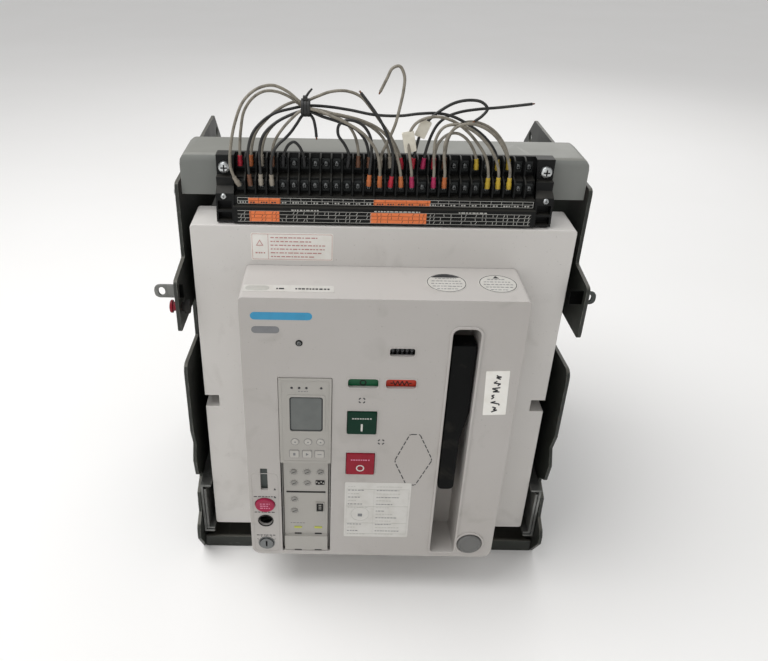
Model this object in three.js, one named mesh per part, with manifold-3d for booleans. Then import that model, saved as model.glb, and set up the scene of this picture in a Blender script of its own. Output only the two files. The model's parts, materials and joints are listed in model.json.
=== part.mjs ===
// A three-pole draw-out air circuit breaker racked into its cradle.
// Millimetres. +X is to the right, +Y to the rear, +Z up.
// The origin is the centre of the base pan's underside.
import * as THREE from "three";
import { mergeVertices } from "three/addons/utils/BufferGeometryUtils.js";
import Module from "manifold-3d";

const wasm = await Module();
wasm.setup();

// ---- Driving dimensions ----
const GAP = 0.3;

// Cradle
const PLATE_OUT = 173;
const PLATE_IN = 170;
const CRADLE_REAR = 140;
const PLATE_TOP = 386;
const PAN_FRONT = -136;
const PAN_THICK = 3;
const BEAM_FRONT = -100;
const BEAM_REAR = -50;
const BEAM_LOW = 375;
const BEAM_TOP = 410;
const SHEET = 2.4;

// Breaker front
const PANEL_FRONT = -130;
const PANEL_REAR = -88;
const PANEL_HALF = 158.2;
const PANEL_LOW = 28;
const PANEL_TOP = 360;
const PANEL_WALL = 4;
const COVER_FRONT = -188;
const COVER_HALF = 114;
const COVER_LOW = 46;
const COVER_TOP = 325;
const COVER_WALL = 3;
const BEHIND_COVER = COVER_FRONT + COVER_WALL + 0.4;

// Breaker case and its three poles
const CASE_HALF = 150;
const CASE_REAR = 70;
const CASE_LOW = 34;
const CASE_TOP = 352;
const CASE_WALL = 4;
const MID_WALL_FRONT = -16;
const MID_WALL_REAR = -10;
const POLES = { left: -96, middle: 0, right: 96 };
const POLE_HALF = 43;
const LEVELS = { upper: 265, lower: 125 };
const SHAFT_Y = 10;
const SHAFT_Z = 165;

// Control terminal block
const BLOCK_HALF = 136;
const BLOCK_LOW = 361.3;
const BLOCK_REAR = BEAM_FRONT - 0.4;
const TERMINALS = 28;
const TERMINAL_PITCH = 8.66;
const ROW_HALF = (TERMINALS * TERMINAL_PITCH) / 2;

// Control features on the cover, as centres and sizes
const BUTTON = { x: -14.1, width: 24.7, height: 23.6, on: 205.7, off: 160.4 };
const RELAY = { left: -84.5, right: -40.1, low: 50.8, top: 250.5, step: 160.5 };
const SLOT = { left: 55.4, right: 78, low: 53, top: 299.6, depth: 40 };
const LOCK_X = -99.8;
const RESET = { z: 109.5, rx: 9, rz: 7.8 };
const RACKING_Z = 89.4;
const RACKING_HOLE = 6.2;
const KEY_Z = 60.8;
const KEY_RADIUS = 6.3;
const KNOB = { x: 92, z: 64.4, radius: 11, shaft: 5 };
const COUNTER = { x: 16.5, z: 277, width: 20.4, height: 7.6 };
const FLAG = { width: 25.2, height: 9, z: 246.2, on: -14.2, charge: 17.1 };
const POINTER = { width: 6.4, low: 127, top: 152.5 };

// Extension rails run inside the fixed rails
const RAIL_IN = 159;
const RAIL_OUT = 169.4;
const RAIL_LOW = 23;
const RAIL_TOP = 86;
const RAIL_FRONT = -138;
const RAIL_REAR = 112;

const WIRE = 2.4;

// ---- Materials ----
function paint(color, roughness, metalness = 0) {
  return new THREE.MeshStandardMaterial({ color, roughness, metalness });
}
const blackSteel = paint("#2f312e", 0.55, 0.3);
const beamPaint = paint("#7f827c", 0.5, 0.1);
const galvanised = paint("#a9adad", 0.4, 0.9);
const blackPlastic = paint("#1e1f1f", 0.6);
const greyPlastic = paint("#bfbdb7", 0.6);
const relayPlastic = paint("#b5b3ad", 0.55);
const copper = paint("#c4c0b2", 0.3, 1);
const greenPlastic = paint("#14503a", 0.5);
const redPlastic = paint("#a8232e", 0.5);
const knobGrey = paint("#7b7b78", 0.6);
const darkGrey = paint("#3a4340", 0.6);
const whitePlastic = paint("#dedbd2", 0.6);
const chuteRed = paint("#8a4a36", 0.8);
const shutterBoard = paint("#6d4a3c", 0.7);
const steel = paint("#b7b9ba", 0.35, 1);
const blackWire = paint("#191a1a", 0.5);
const greyWire = paint("#a39d91", 0.5);

// ---- Solids ----
function solid(geometry) {
  const bare = geometry.clone();
  bare.deleteAttribute("normal");
  bare.deleteAttribute("uv");
  const merged = mergeVertices(bare, 1e-4);
  const vertProperties = merged.getAttribute("position").array;
  const triVerts = new Uint32Array(merged.index.array);
  return new wasm.Manifold(new wasm.Mesh({ numProp: 3, vertProperties, triVerts }));
}

function block(x0, x1, y0, y1, z0, z1) {
  const box = new THREE.BoxGeometry(x1 - x0, y1 - y0, z1 - z0);
  box.translate((x0 + x1) / 2, (y0 + y1) / 2, (z0 + z1) / 2);
  return solid(box);
}

// A closed outline through its corners, each [u, v] or [u, v, rounding radius].
function outline(corners) {
  const shape = new THREE.Shape();
  const count = corners.length;
  corners.forEach(([u, v, radius = 0], index) => {
    const [beforeU, beforeV] = corners[(index + count - 1) % count];
    const [afterU, afterV] = corners[(index + 1) % count];
    const back = new THREE.Vector2(beforeU - u, beforeV - v);
    const ahead = new THREE.Vector2(afterU - u, afterV - v);
    const reach = radius / Math.tan(back.angleTo(ahead) / 2);
    const start = new THREE.Vector2(u, v).addScaledVector(back.normalize(), reach);
    const end = new THREE.Vector2(u, v).addScaledVector(ahead.normalize(), reach);
    if (index === 0) {
      shape.moveTo(start.x, start.y);
    } else {
      shape.lineTo(start.x, start.y);
    }
    if (radius > 0) {
      shape.quadraticCurveTo(u, v, end.x, end.y);
    }
  });
  shape.closePath();
  return shape;
}

function rectangle(u0, u1, v0, v1, radius = 0) {
  return outline([
    [u0, v0, radius],
    [u1, v0, radius],
    [u1, v1, radius],
    [u0, v1, radius],
  ]);
}

function extruded(shape, length, across, up, along, curveSegments) {
  const options = { depth: length, bevelEnabled: false, curveSegments };
  const geometry = new THREE.ExtrudeGeometry(shape, options);
  geometry.applyMatrix4(new THREE.Matrix4().makeBasis(across, up, along));
  return geometry;
}
const X = new THREE.Vector3(1, 0, 0);
const Y = new THREE.Vector3(0, 1, 0);
const Z = new THREE.Vector3(0, 0, 1);

// A plate whose outline is drawn in (y, z), from x0 to x1.
function plateX(shape, x0, x1, segments = 4) {
  return solid(extruded(shape, x1 - x0, Y, Z, X, segments).translate(x0, 0, 0));
}

// A plate whose outline is drawn in (x, z), from y0 to y1.
function plateY(shape, y0, y1, segments = 4) {
  const geometry = extruded(shape, y1 - y0, X, Z, Y.clone().negate(), segments);
  return solid(geometry.translate(0, y1, 0));
}

// A plate whose outline is drawn in (x, y), from z0 to z1.
function plateZ(shape, z0, z1, segments = 4) {
  return solid(extruded(shape, z1 - z0, X, Y, Z, segments).translate(0, 0, z0));
}

function rodX(x0, x1, y, z, radius, sides = 24) {
  const rod = new THREE.CylinderGeometry(radius, radius, x1 - x0, sides);
  rod.rotateZ(-Math.PI / 2);
  return solid(rod.translate((x0 + x1) / 2, y, z));
}

function rodY(x, y0, y1, z, radius, sides = 24, squash = 1) {
  const rod = new THREE.CylinderGeometry(radius, radius, y1 - y0, sides);
  rod.scale(1, 1, squash);
  return solid(rod.translate(x, (y0 + y1) / 2, z));
}

function rodZ(x, y, z0, z1, radius, sides = 24) {
  const rod = new THREE.CylinderGeometry(radius, radius, z1 - z0, sides);
  rod.rotateX(Math.PI / 2);
  return solid(rod.translate(x, y, (z0 + z1) / 2));
}

function joined(solids) {
  return solids.reduce((whole, next) => whole.add(next));
}

function cut(body, tools) {
  return tools.reduce((rest, tool) => rest.subtract(tool), body);
}

const assembly = new THREE.Group();

function add(name, made, material) {
  const { numProp, vertProperties, triVerts } = made.getMesh();
  const geometry = new THREE.BufferGeometry();
  const points = new THREE.BufferAttribute(new Float32Array(vertProperties), numProp);
  geometry.setAttribute("position", points);
  geometry.setIndex(new THREE.BufferAttribute(new Uint32Array(triVerts), 1));
  geometry.computeVertexNormals();
  const mesh = new THREE.Mesh(geometry, material);
  mesh.name = name;
  assembly.add(mesh);
}

const SIDES = { left: -1, right: 1 };
function between(side, inner, outer) {
  return side > 0 ? [inner, outer] : [-outer, -inner];
}

// ---- Cradle: side plates, base pan, top beam ----
const FRONT = { strip: -105, wing: -145, lobe: -140, nose: -155 };
const plateOutline = outline([
  [-135, 0],
  [CRADLE_REAR, 0],
  [CRADLE_REAR, 348, 4],
  [136, 356, 4],
  [102, PLATE_TOP + 1, 3],
  [FRONT.strip, PLATE_TOP, 5],
  [FRONT.strip, 319, 3],
  [FRONT.wing, 315, 5],
  [FRONT.wing, 266, 5],
  [-78, 264, 2],
  [-78, 224, 2],
  [-118, 227, 3],
  [FRONT.lobe, 229, 9],
  [FRONT.lobe, 155, 4],
  [-133, 136, 3],
  [-141, 120, 3],
  [-136, 98, 2],
  [-121, 88, 1],
  [-121, 83, 1],
  [-138, 76, 2],
  [-139, 52, 2],
  [-152, 46, 4],
  [FRONT.nose, 40, 3],
  [FRONT.nose, 30, 4],
]);
const LIFTING_HOLE = { y: 112, z: 366, radius: 6.5 };
const PLATE_VENTS = { spans: [[-60, -20], [50, 90]], low: 190, top: 210, corner: 5 };
const HASP_Y = -138;
const HASP_Z = 303;
const HASP_HEIGHT = 12;
const HASP_SHEET = 2;
const RED_BUTTON = { y: -134, z: 286, radius: 4, tip: -180, collar: -167, inner: -163 };

for (const [name, side] of Object.entries(SIDES)) {
  const [x0, x1] = between(side, PLATE_IN, PLATE_OUT);
  const over = 1;
  const haspSlot = block(
    x0 - over,
    x1 + over,
    HASP_Y - HASP_SHEET / 2 - GAP,
    HASP_Y + HASP_SHEET / 2 + GAP,
    HASP_Z - HASP_HEIGHT / 2 - GAP,
    HASP_Z + HASP_HEIGHT / 2 + GAP,
  );
  const { spans, low, top, corner } = PLATE_VENTS;
  const vents = spans.map(([front, rear]) =>
    plateX(rectangle(front, rear, low, top, corner), x0 - over, x1 + over, 2),
  );
  const liftingHole = rodX(
    x0 - over,
    x1 + over,
    LIFTING_HOLE.y,
    LIFTING_HOLE.z,
    LIFTING_HOLE.radius,
    20,
  );
  const holes = [haspSlot, liftingHole, ...vents];
  if (side < 0) {
    const { y, z, radius } = RED_BUTTON;
    holes.push(rodX(x0 - over, x1 + over, y, z, radius + GAP, 20));
  }
  add("cradle_side_plate_" + name, cut(plateX(plateOutline, x0, x1), holes), blackSteel);
}

const PAN_LIP = 14;
const panHalf = PLATE_IN - GAP;
const pan = joined([
  block(-panHalf, panHalf, PAN_FRONT, CRADLE_REAR, 0, PAN_THICK),
  block(-panHalf, panHalf, PAN_FRONT, PAN_FRONT + PAN_THICK, 0, PAN_LIP),
  block(-panHalf, panHalf, CRADLE_REAR - PAN_THICK, CRADLE_REAR, 0, PAN_LIP),
]);
const FIXING = { x: [-120, 120], y: [-100, 110], radius: 5.5 };
const panHoles = FIXING.x.flatMap((x) =>
  FIXING.y.map((y) => rodZ(x, y, -1, PAN_THICK + 1, FIXING.radius, 12)),
);
add("cradle_base_pan", cut(pan, panHoles), blackSteel);

const beamSection = outline([
  [BEAM_FRONT, BEAM_LOW],
  [BEAM_FRONT + SHEET, BEAM_LOW],
  [BEAM_FRONT + SHEET, BEAM_TOP - SHEET, 4],
  [BEAM_REAR - SHEET, BEAM_TOP - SHEET, 2],
  [BEAM_REAR - SHEET, BEAM_TOP - 16],
  [BEAM_REAR, BEAM_TOP - 16],
  [BEAM_REAR, BEAM_TOP, 5],
  [BEAM_FRONT, BEAM_TOP, 7],
]);
const beamHalf = 168;
const BEAM_CORNER = 16;
const BEAM_SHOULDER = 9;
const beamPlan = outline([
  [-beamHalf, BEAM_FRONT - 1],
  [beamHalf, BEAM_FRONT - 1],
  [beamHalf, BEAM_REAR, BEAM_CORNER],
  [-beamHalf, BEAM_REAR, BEAM_CORNER],
]);
const beamFront = outline([
  [-beamHalf, BEAM_LOW],
  [beamHalf, BEAM_LOW],
  [beamHalf, BEAM_TOP, BEAM_SHOULDER],
  [-beamHalf, BEAM_TOP, BEAM_SHOULDER],
]);
const beam = plateX(beamSection, -beamHalf, beamHalf)
  .intersect(plateZ(beamPlan, BEAM_LOW - 1, BEAM_TOP + 1))
  .intersect(plateY(beamFront, BEAM_FRONT - 1, BEAM_REAR + 1));
add("cradle_top_beam", beam, beamPaint);

// ---- Cradle: rear insulating panel and main terminals ----
const REAR_PANEL = { front: 118, rear: 136, shoulder: 320, neckHalf: 140, top: 352 };
const FLANGE = { half: 32, height: 19, front: 121, rear: 129 };
const windows = Object.values(POLES).flatMap((x) =>
  Object.values(LEVELS).map((z) =>
    block(
      x - FLANGE.half - GAP,
      x + FLANGE.half + GAP,
      REAR_PANEL.front - 1,
      REAR_PANEL.rear + 1,
      z - FLANGE.height - GAP,
      z + FLANGE.height + GAP,
    ),
  ),
);
function rearPanel({ front, rear, shoulder, neckHalf, top }) {
  const wide = block(-panHalf, panHalf, front, rear, PAN_THICK + GAP, shoulder);
  return wide.add(block(-neckHalf, neckHalf, front, rear, shoulder - 1, top));
}
add("rear_insulating_panel", cut(rearPanel(REAR_PANEL), windows), blackPlastic);

const BAR = { half: 25, thick: 10, rear: 185, hole: 5.5, holeY: 165, holeX: 12.5 };
const JAW = { half: 22, front: 81.5, inner: 6.3, outer: 12.3 };
function mainTerminal(x, z) {
  const { half, thick, rear } = BAR;
  const jaw = (low, high) => block(x - JAW.half, x + JAW.half, JAW.front, 122, low, high);
  const solids = [
    block(x - half, x + half, 121, rear, z - thick / 2, z + thick / 2),
    block(
      x - FLANGE.half,
      x + FLANGE.half,
      FLANGE.front,
      FLANGE.rear,
      z - FLANGE.height,
      z + FLANGE.height,
    ),
    jaw(z + JAW.inner, z + JAW.outer),
    jaw(z - JAW.outer, z - JAW.inner),
  ];
  const holes = [-BAR.holeX, BAR.holeX].map((dx) =>
    rodZ(x + dx, BAR.holeY, z - thick, z + thick, BAR.hole, 12),
  );
  return cut(joined(solids), holes);
}
for (const [level, z] of Object.entries(LEVELS)) {
  for (const [pole, x] of Object.entries(POLES)) {
    add("main_terminal_" + level + "_" + pole, mainTerminal(x, z), copper);
  }
}

// ---- Cradle: control terminal block, two rows of terminals between ribs ----
const ROWS = {
  lower: { wall: -114, low: 383, top: 396, ribFront: -122 },
  upper: { wall: -104, low: 397, top: 412, ribFront: -112.5 },
};
const blockSection = outline([
  [-128, BLOCK_LOW],
  [BLOCK_REAR, BLOCK_LOW],
  [BLOCK_REAR, 413],
  [ROWS.upper.wall, 413],
  [ROWS.upper.wall, ROWS.upper.low],
  [ROWS.lower.wall, ROWS.lower.top],
  [ROWS.lower.wall, ROWS.lower.low],
  [-124, 383],
  [-124, 375.5],
  [-128, 375],
]);
const ribSection = outline([
  [ROWS.lower.ribFront, 382.5],
  [-102, 382.5],
  [-102, 413],
  [-107, 413],
  [ROWS.upper.ribFront, 411, 1],
  [ROWS.upper.ribFront, 399],
  [-118, 397.4],
  [ROWS.lower.ribFront, 395, 1],
]);
const RIB = 1.5;
const ribs = [];
for (let index = 1; index < TERMINALS; index += 1) {
  const x = -ROW_HALF + index * TERMINAL_PITCH;
  ribs.push(plateX(ribSection, x - RIB / 2, x + RIB / 2, 1));
}
const endSection = outline([
  [-126.5, BLOCK_LOW],
  [BLOCK_REAR, BLOCK_LOW],
  [BLOCK_REAR, 413],
  [-112, 413, 1],
  [-112, 396.5],
  [-117, 396],
  [-117, 389],
  [-124.5, 385],
]);
const ends = [-1, 1].map((side) => {
  const [x0, x1] = between(side, ROW_HALF, BLOCK_HALF);
  const [p0, p1] = between(side, ROW_HALF + 2.2, BLOCK_HALF - 1.6);
  const pockets = [
    block(p0, p1, -130, -119, 363, 369.5),
    block(p0, p1, -130, -119, 371.5, 379),
  ];
  return cut(plateX(endSection, x0, x1), pockets);
});
const terminalBody = plateX(blockSection, -ROW_HALF - 1, ROW_HALF + 1);
add("control_terminal_block", joined([terminalBody, ...ends, ...ribs]), blackPlastic);

// ---- Cradle: fixed rails, extension rails ----
for (const [name, side] of Object.entries(SIDES)) {
  const channel = outline([
    [RAIL_IN, RAIL_LOW],
    [RAIL_OUT, RAIL_LOW],
    [RAIL_OUT, RAIL_TOP],
    [RAIL_IN, RAIL_TOP],
    [RAIL_IN, RAIL_TOP - SHEET],
    [RAIL_OUT - SHEET, RAIL_TOP - SHEET],
    [RAIL_OUT - SHEET, RAIL_LOW + SHEET],
    [RAIL_IN, RAIL_LOW + SHEET],
  ]);
  const rail = plateY(channel, RAIL_FRONT, RAIL_REAR);
  const innerEdge = RAIL_OUT - SHEET - GAP;
  const ledge = outline([
    [RAIL_IN, RAIL_LOW + SHEET + GAP],
    [innerEdge, RAIL_LOW + SHEET + GAP],
    [innerEdge, RAIL_TOP - SHEET - 4],
    [innerEdge - SHEET, RAIL_TOP - SHEET - 4],
    [innerEdge - SHEET, RAIL_LOW + 2 * SHEET + GAP],
    [RAIL_IN, RAIL_LOW + 2 * SHEET + GAP],
  ]);
  const runner = plateY(ledge, RAIL_FRONT + 1, RAIL_REAR - 6);
  const mirrored = (made) => (side > 0 ? made : made.mirror([1, 0, 0]));
  add("fixed_rail_" + name, mirrored(rail), galvanised);
  add("extension_rail_" + name, mirrored(runner), galvanised);
}

// ---- Cradle: padlock tabs and the red locking button ----
const haspFront = HASP_Y - HASP_SHEET / 2;
const haspRear = HASP_Y + HASP_SHEET / 2;
function hasp(inner, outer, holeHalf) {
  const half = HASP_HEIGHT / 2;
  const shape = outline([
    [inner, HASP_Z - half],
    [outer, HASP_Z - half, 5.5],
    [outer, HASP_Z + half, 5.5],
    [inner, HASP_Z + half],
  ]);
  const hole = rodY(outer - 6.4, haspFront - 1, haspRear + 1, HASP_Z, holeHalf, 16, 1.35);
  return plateY(shape, haspFront, haspRear).subtract(hole);
}
add("padlock_tab_left", hasp(166.5, 191, 2.9).mirror([1, 0, 0]), steel);
add("padlock_tab_right", hasp(159, 181, 2.6), steel);

function lockButton({ y, z, radius, tip, collar, inner }) {
  const stem = rodX(tip, collar + 1, y, z, radius, 20);
  return stem.add(rodX(collar, inner, y, z, radius + 2, 20));
}
add("cradle_lock_button", lockButton(RED_BUTTON), redPlastic);

// ---- Cradle: safety shutters and racking carriage ----
const SHUTTER = { front: 77.4, rear: 80.4, half: 157.5 };
const shutterHeights = { upper: [283, 333], lower: [57, 107] };
for (const [name, [low, top]] of Object.entries(shutterHeights)) {
  const { front, rear, half } = SHUTTER;
  const lip = name === "upper" ? [top - 3, top] : [low, low + 3];
  const sheet = joined([
    block(-half, half, front, rear, low, top),
    block(-half + 10, half - 10, front - 5, front + 1, ...lip),
  ]);
  add("shutter_" + name, sheet, shutterBoard);
}

const CARRIAGE = { low: 6, top: 9, front: -80, rear: 76, half: 150 };
const HOOK = { x: 110, half: 20, front: 72.5, top: 52 };
const LIGHTENING = { x: 75, half: 45, front: -50, rear: 40 };
const carriage = joined([
  block(-CARRIAGE.half, CARRIAGE.half, CARRIAGE.front, CARRIAGE.rear, CARRIAGE.low, CARRIAGE.top),
  ...[-HOOK.x, HOOK.x].map((x) =>
    block(x - HOOK.half, x + HOOK.half, HOOK.front, CARRIAGE.rear, CARRIAGE.low, HOOK.top),
  ),
]);
const carriageHoles = [-LIGHTENING.x, LIGHTENING.x].map((x) => {
  const { half, front, rear } = LIGHTENING;
  return block(x - half, x + half, front, rear, CARRIAGE.low - 1, CARRIAGE.top + 1);
});
add("racking_carriage", cut(carriage, carriageHoles), galvanised);

// ---- Breaker: moulded case with a mechanism bay and three pole chambers ----
const CHAMBER_FLOOR = 60;
const chambers = Object.values(POLES).map((x) =>
  block(
    x - POLE_HALF,
    x + POLE_HALF,
    MID_WALL_REAR,
    CASE_REAR - CASE_WALL,
    CHAMBER_FLOOR,
    CASE_TOP + 1,
  ),
);
const STUB_WINDOW = { halfWidth: 31, halfHeight: 8 };
const stubWindows = Object.values(POLES).flatMap((x) =>
  Object.values(LEVELS).map((z) =>
    block(
      x - STUB_WINDOW.halfWidth,
      x + STUB_WINDOW.halfWidth,
      CASE_REAR - CASE_WALL - 1,
      CASE_REAR + 1,
      z - STUB_WINDOW.halfHeight,
      z + STUB_WINDOW.halfHeight,
    ),
  ),
);
const BAY = { half: 145, low: 42, top: 344 };
const mechanismBay = block(-BAY.half, BAY.half, PANEL_REAR - 1, MID_WALL_FRONT, BAY.low, BAY.top);
const SHAFT = { half: 147, radius: 8, bore: 9.4 };
const shaftBore = rodX(-SHAFT.half - 1, SHAFT.half + 1, SHAFT_Y, SHAFT_Z, SHAFT.bore, 20);
const SPRING = { x: 112, y: -50, seat: 119.7, coil: 10, wire: 1.6, top: 200 };
const SHELF = { inner: 92, front: -72, rear: -28, thick: 6 };
const springShelf = block(
  SHELF.inner,
  BAY.half + 0.5,
  SHELF.front,
  SHELF.rear,
  SPRING.seat - SHELF.thick,
  SPRING.seat,
);
const caseBody = block(-CASE_HALF, CASE_HALF, PANEL_REAR + GAP, CASE_REAR, CASE_LOW, CASE_TOP);
const caseShell = cut(caseBody, [mechanismBay, ...chambers, ...stubWindows, shaftBore]);
add("breaker_case", caseShell.add(springShelf), blackPlastic);

// ---- Breaker: runners that carry it along the extension rails ----
const RUNNER = { front: -70, rear: 55, out: 163, low: RAIL_LOW + 2 * SHEET + 2 * GAP, top: 41 };
const RUNNER_RAMP = 6;
const runnerOutline = outline([
  [RUNNER.front, RUNNER.low + RUNNER_RAMP],
  [RUNNER.front + RUNNER_RAMP, RUNNER.low],
  [RUNNER.rear - RUNNER_RAMP, RUNNER.low],
  [RUNNER.rear, RUNNER.low + RUNNER_RAMP],
  [RUNNER.rear, RUNNER.top],
  [RUNNER.front, RUNNER.top],
]);
for (const [name, side] of Object.entries(SIDES)) {
  const [x0, x1] = between(side, CASE_HALF + GAP, RUNNER.out);
  add("support_runner_" + name, plateX(runnerOutline, x0, x1), steel);
}

// ---- Breaker: front panel with a finger notch in each side ----
const NOTCH = { depth: 13, low: 177.5, top: 190 };
const panelOutline = rectangle(-PANEL_HALF, PANEL_HALF, PANEL_LOW, PANEL_TOP, 3);
const hollow = block(
  -PANEL_HALF + PANEL_WALL,
  PANEL_HALF - PANEL_WALL,
  PANEL_FRONT + PANEL_WALL,
  PANEL_REAR + 1,
  PANEL_LOW + PANEL_WALL,
  PANEL_TOP - PANEL_WALL,
);
const notchTools = [-1, 1].map((side) => {
  const [x0, x1] = between(side, PANEL_HALF - NOTCH.depth, PANEL_HALF + 1);
  return block(x0, x1, PANEL_FRONT - 1, PANEL_REAR + 1, NOTCH.low, NOTCH.top);
});
const notchWalls = [-1, 1].map((side) => {
  const inner = PANEL_HALF - NOTCH.depth - PANEL_WALL;
  const [x0, x1] = between(side, inner, PANEL_HALF - 1);
  const front = PANEL_FRONT + 1;
  return block(x0, x1, front, PANEL_REAR, NOTCH.low - PANEL_WALL, NOTCH.top + PANEL_WALL);
});
const panelShell = plateY(panelOutline, PANEL_FRONT, PANEL_REAR).subtract(hollow);
const PASSAGE = { half: 108, low: 52, top: 318 };
const passage = block(
  -PASSAGE.half,
  PASSAGE.half,
  PANEL_FRONT - 1,
  PANEL_FRONT + PANEL_WALL + 1,
  PASSAGE.low,
  PASSAGE.top,
);
const frontPanel = cut(joined([panelShell, ...notchWalls]), [...notchTools, passage]);
add("front_panel", frontPanel, greyPlastic);

// ---- Breaker: control cover ----
const coverOutline = outline([
  [-COVER_HALF, COVER_LOW, 10],
  [COVER_HALF, COVER_LOW, 10],
  [COVER_HALF, COVER_TOP, 4],
  [-COVER_HALF, COVER_TOP, 4],
]);
const coverRear = PANEL_FRONT - GAP;
const slotShape = outline([
  [SLOT.left, SLOT.low, 3],
  [SLOT.right, SLOT.low, 3],
  [SLOT.right, SLOT.top, 6],
  [SLOT.left, SLOT.top, 6],
]);
const throughFront = [COVER_FRONT - 1, COVER_FRONT + COVER_WALL + 1];
function windowInCover(x, z, width, height, radius = 0.8) {
  const shape = rectangle(x - width / 2, x + width / 2, z - height / 2, z + height / 2, radius);
  return plateY(shape, ...throughFront, 2);
}
const slotWall = 1.6;
const slotPocket = block(
  SLOT.left - slotWall,
  SLOT.right + slotWall,
  COVER_FRONT + 1,
  COVER_FRONT + SLOT.depth + slotWall,
  COVER_LOW + 1,
  SLOT.top + slotWall,
);
const coverShell = cut(plateY(coverOutline, COVER_FRONT, coverRear), [
  block(
    -COVER_HALF + COVER_WALL,
    COVER_HALF - COVER_WALL,
    COVER_FRONT + COVER_WALL,
    coverRear + 1,
    COVER_LOW + COVER_WALL,
    COVER_TOP - COVER_WALL,
  ),
]);
const CLEAR = 0.4;
const relayWindow = plateY(
  rectangle(
    RELAY.left - CLEAR,
    RELAY.right + CLEAR,
    RELAY.low - CLEAR,
    RELAY.top + CLEAR,
    0.8,
  ),
  ...throughFront,
  2,
);
const pointerMiddle = (POINTER.low + POINTER.top) / 2;
const pointerHeight = POINTER.top - POINTER.low;
const coverTools = [
  plateY(slotShape, COVER_FRONT - 1, COVER_FRONT + SLOT.depth, 3),
  windowInCover(BUTTON.x, BUTTON.on, BUTTON.width + 2 * CLEAR, BUTTON.height + 2 * CLEAR),
  windowInCover(BUTTON.x, BUTTON.off, BUTTON.width + 2 * CLEAR, BUTTON.height + 2 * CLEAR),
  windowInCover(FLAG.on, FLAG.z, FLAG.width, FLAG.height),
  windowInCover(FLAG.charge, FLAG.z, FLAG.width, FLAG.height),
  windowInCover(COUNTER.x, COUNTER.z, COUNTER.width, COUNTER.height),
  windowInCover(LOCK_X, pointerMiddle, POINTER.width, pointerHeight),
  relayWindow,
  rodY(LOCK_X, ...throughFront, RESET.z, RESET.rx + CLEAR, 28, RESET.rz / RESET.rx),
  rodY(LOCK_X, ...throughFront, RACKING_Z, RACKING_HOLE, 24),
  rodY(LOCK_X, ...throughFront, KEY_Z, KEY_RADIUS + CLEAR, 24),
  rodY(KNOB.x, ...throughFront, KNOB.z, KNOB.radius + CLEAR, 28),
];
add("control_cover", cut(coverShell.add(slotPocket), coverTools), greyPlastic);

// ---- Breaker: arc chutes, moving contacts, main shaft ----
const CHUTE = { low: 254, front: -6, rear: 46, half: 38, cheek: 3, cap: 14 };
const SPLITTER = { count: 7, thick: 1.6, low: CHUTE.low + 8 };
const CHUTE_VENT = { half: 30, offset: 3, width: 3, depth: 6 };
for (const [pole, x] of Object.entries(POLES)) {
  const cap = block(
    x - POLE_HALF + GAP,
    x + POLE_HALF - GAP,
    MID_WALL_REAR + GAP,
    CASE_REAR - CASE_WALL - GAP,
    CASE_TOP - CHUTE.cap,
    CASE_TOP + 2,
  );
  const underCap = CASE_TOP - CHUTE.cap + 1;
  const cheeks = [-1, 1].map((side) => {
    const [a, b] = between(side, CHUTE.half - CHUTE.cheek, CHUTE.half);
    return block(x + a, x + b, CHUTE.front, CHUTE.rear, CHUTE.low, underCap);
  });
  const splitters = [];
  const vents = [];
  const reach = CHUTE.half - CHUTE.cheek + 1;
  const spacing = (CHUTE.rear - CHUTE.front) / SPLITTER.count;
  for (let index = 0; index < SPLITTER.count; index += 1) {
    const y = CHUTE.front + 2 + index * spacing;
    const { thick, low } = SPLITTER;
    splitters.push(block(x - reach, x + reach, y, y + thick, low, underCap));
    const ventFront = y + CHUTE_VENT.offset;
    const ventRear = ventFront + CHUTE_VENT.width;
    const ventLow = CASE_TOP + 2 - CHUTE_VENT.depth;
    const { half } = CHUTE_VENT;
    vents.push(block(x - half, x + half, ventFront, ventRear, ventLow, CASE_TOP + 3));
  }
  add("arc_chute_" + pole, cut(joined([cap, ...cheeks, ...splitters]), vents), chuteRed);
}

const ARM = { half: 26, tipY: 40, tipZ: 250 };
const armShape = outline([
  [SHAFT_Y - 14, SHAFT_Z - 14, 6],
  [SHAFT_Y + 14, SHAFT_Z - 14, 6],
  [SHAFT_Y + 18, SHAFT_Z + 20],
  [ARM.tipY, ARM.tipZ - 26],
  [ARM.tipY, ARM.tipZ, 3],
  [ARM.tipY - 14, ARM.tipZ, 5],
  [SHAFT_Y - 12, SHAFT_Z + 30],
]);
const COMB = { pitch: 13, half: 1, front: 0, rear: 60, low: SHAFT_Z + 24 };
for (const [pole, x] of Object.entries(POLES)) {
  const arm = plateX(armShape, x - ARM.half, x + ARM.half);
  const combs = [-COMB.pitch, 0, COMB.pitch].map((dx) => {
    const middle = x + dx;
    const [x0, x1] = [middle - COMB.half, middle + COMB.half];
    return block(x0, x1, COMB.front, COMB.rear, COMB.low, ARM.tipZ + 5);
  });
  const boreHalf = ARM.half + 4;
  const bore = rodX(x - boreHalf, x + boreHalf, SHAFT_Y, SHAFT_Z, SHAFT.radius + GAP, 16);
  add("moving_contact_" + pole, cut(arm, [...combs, bore]), copper);
}
add("main_shaft", rodX(-SHAFT.half, SHAFT.half, SHAFT_Y, SHAFT_Z, SHAFT.radius, 16), steel);

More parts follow.
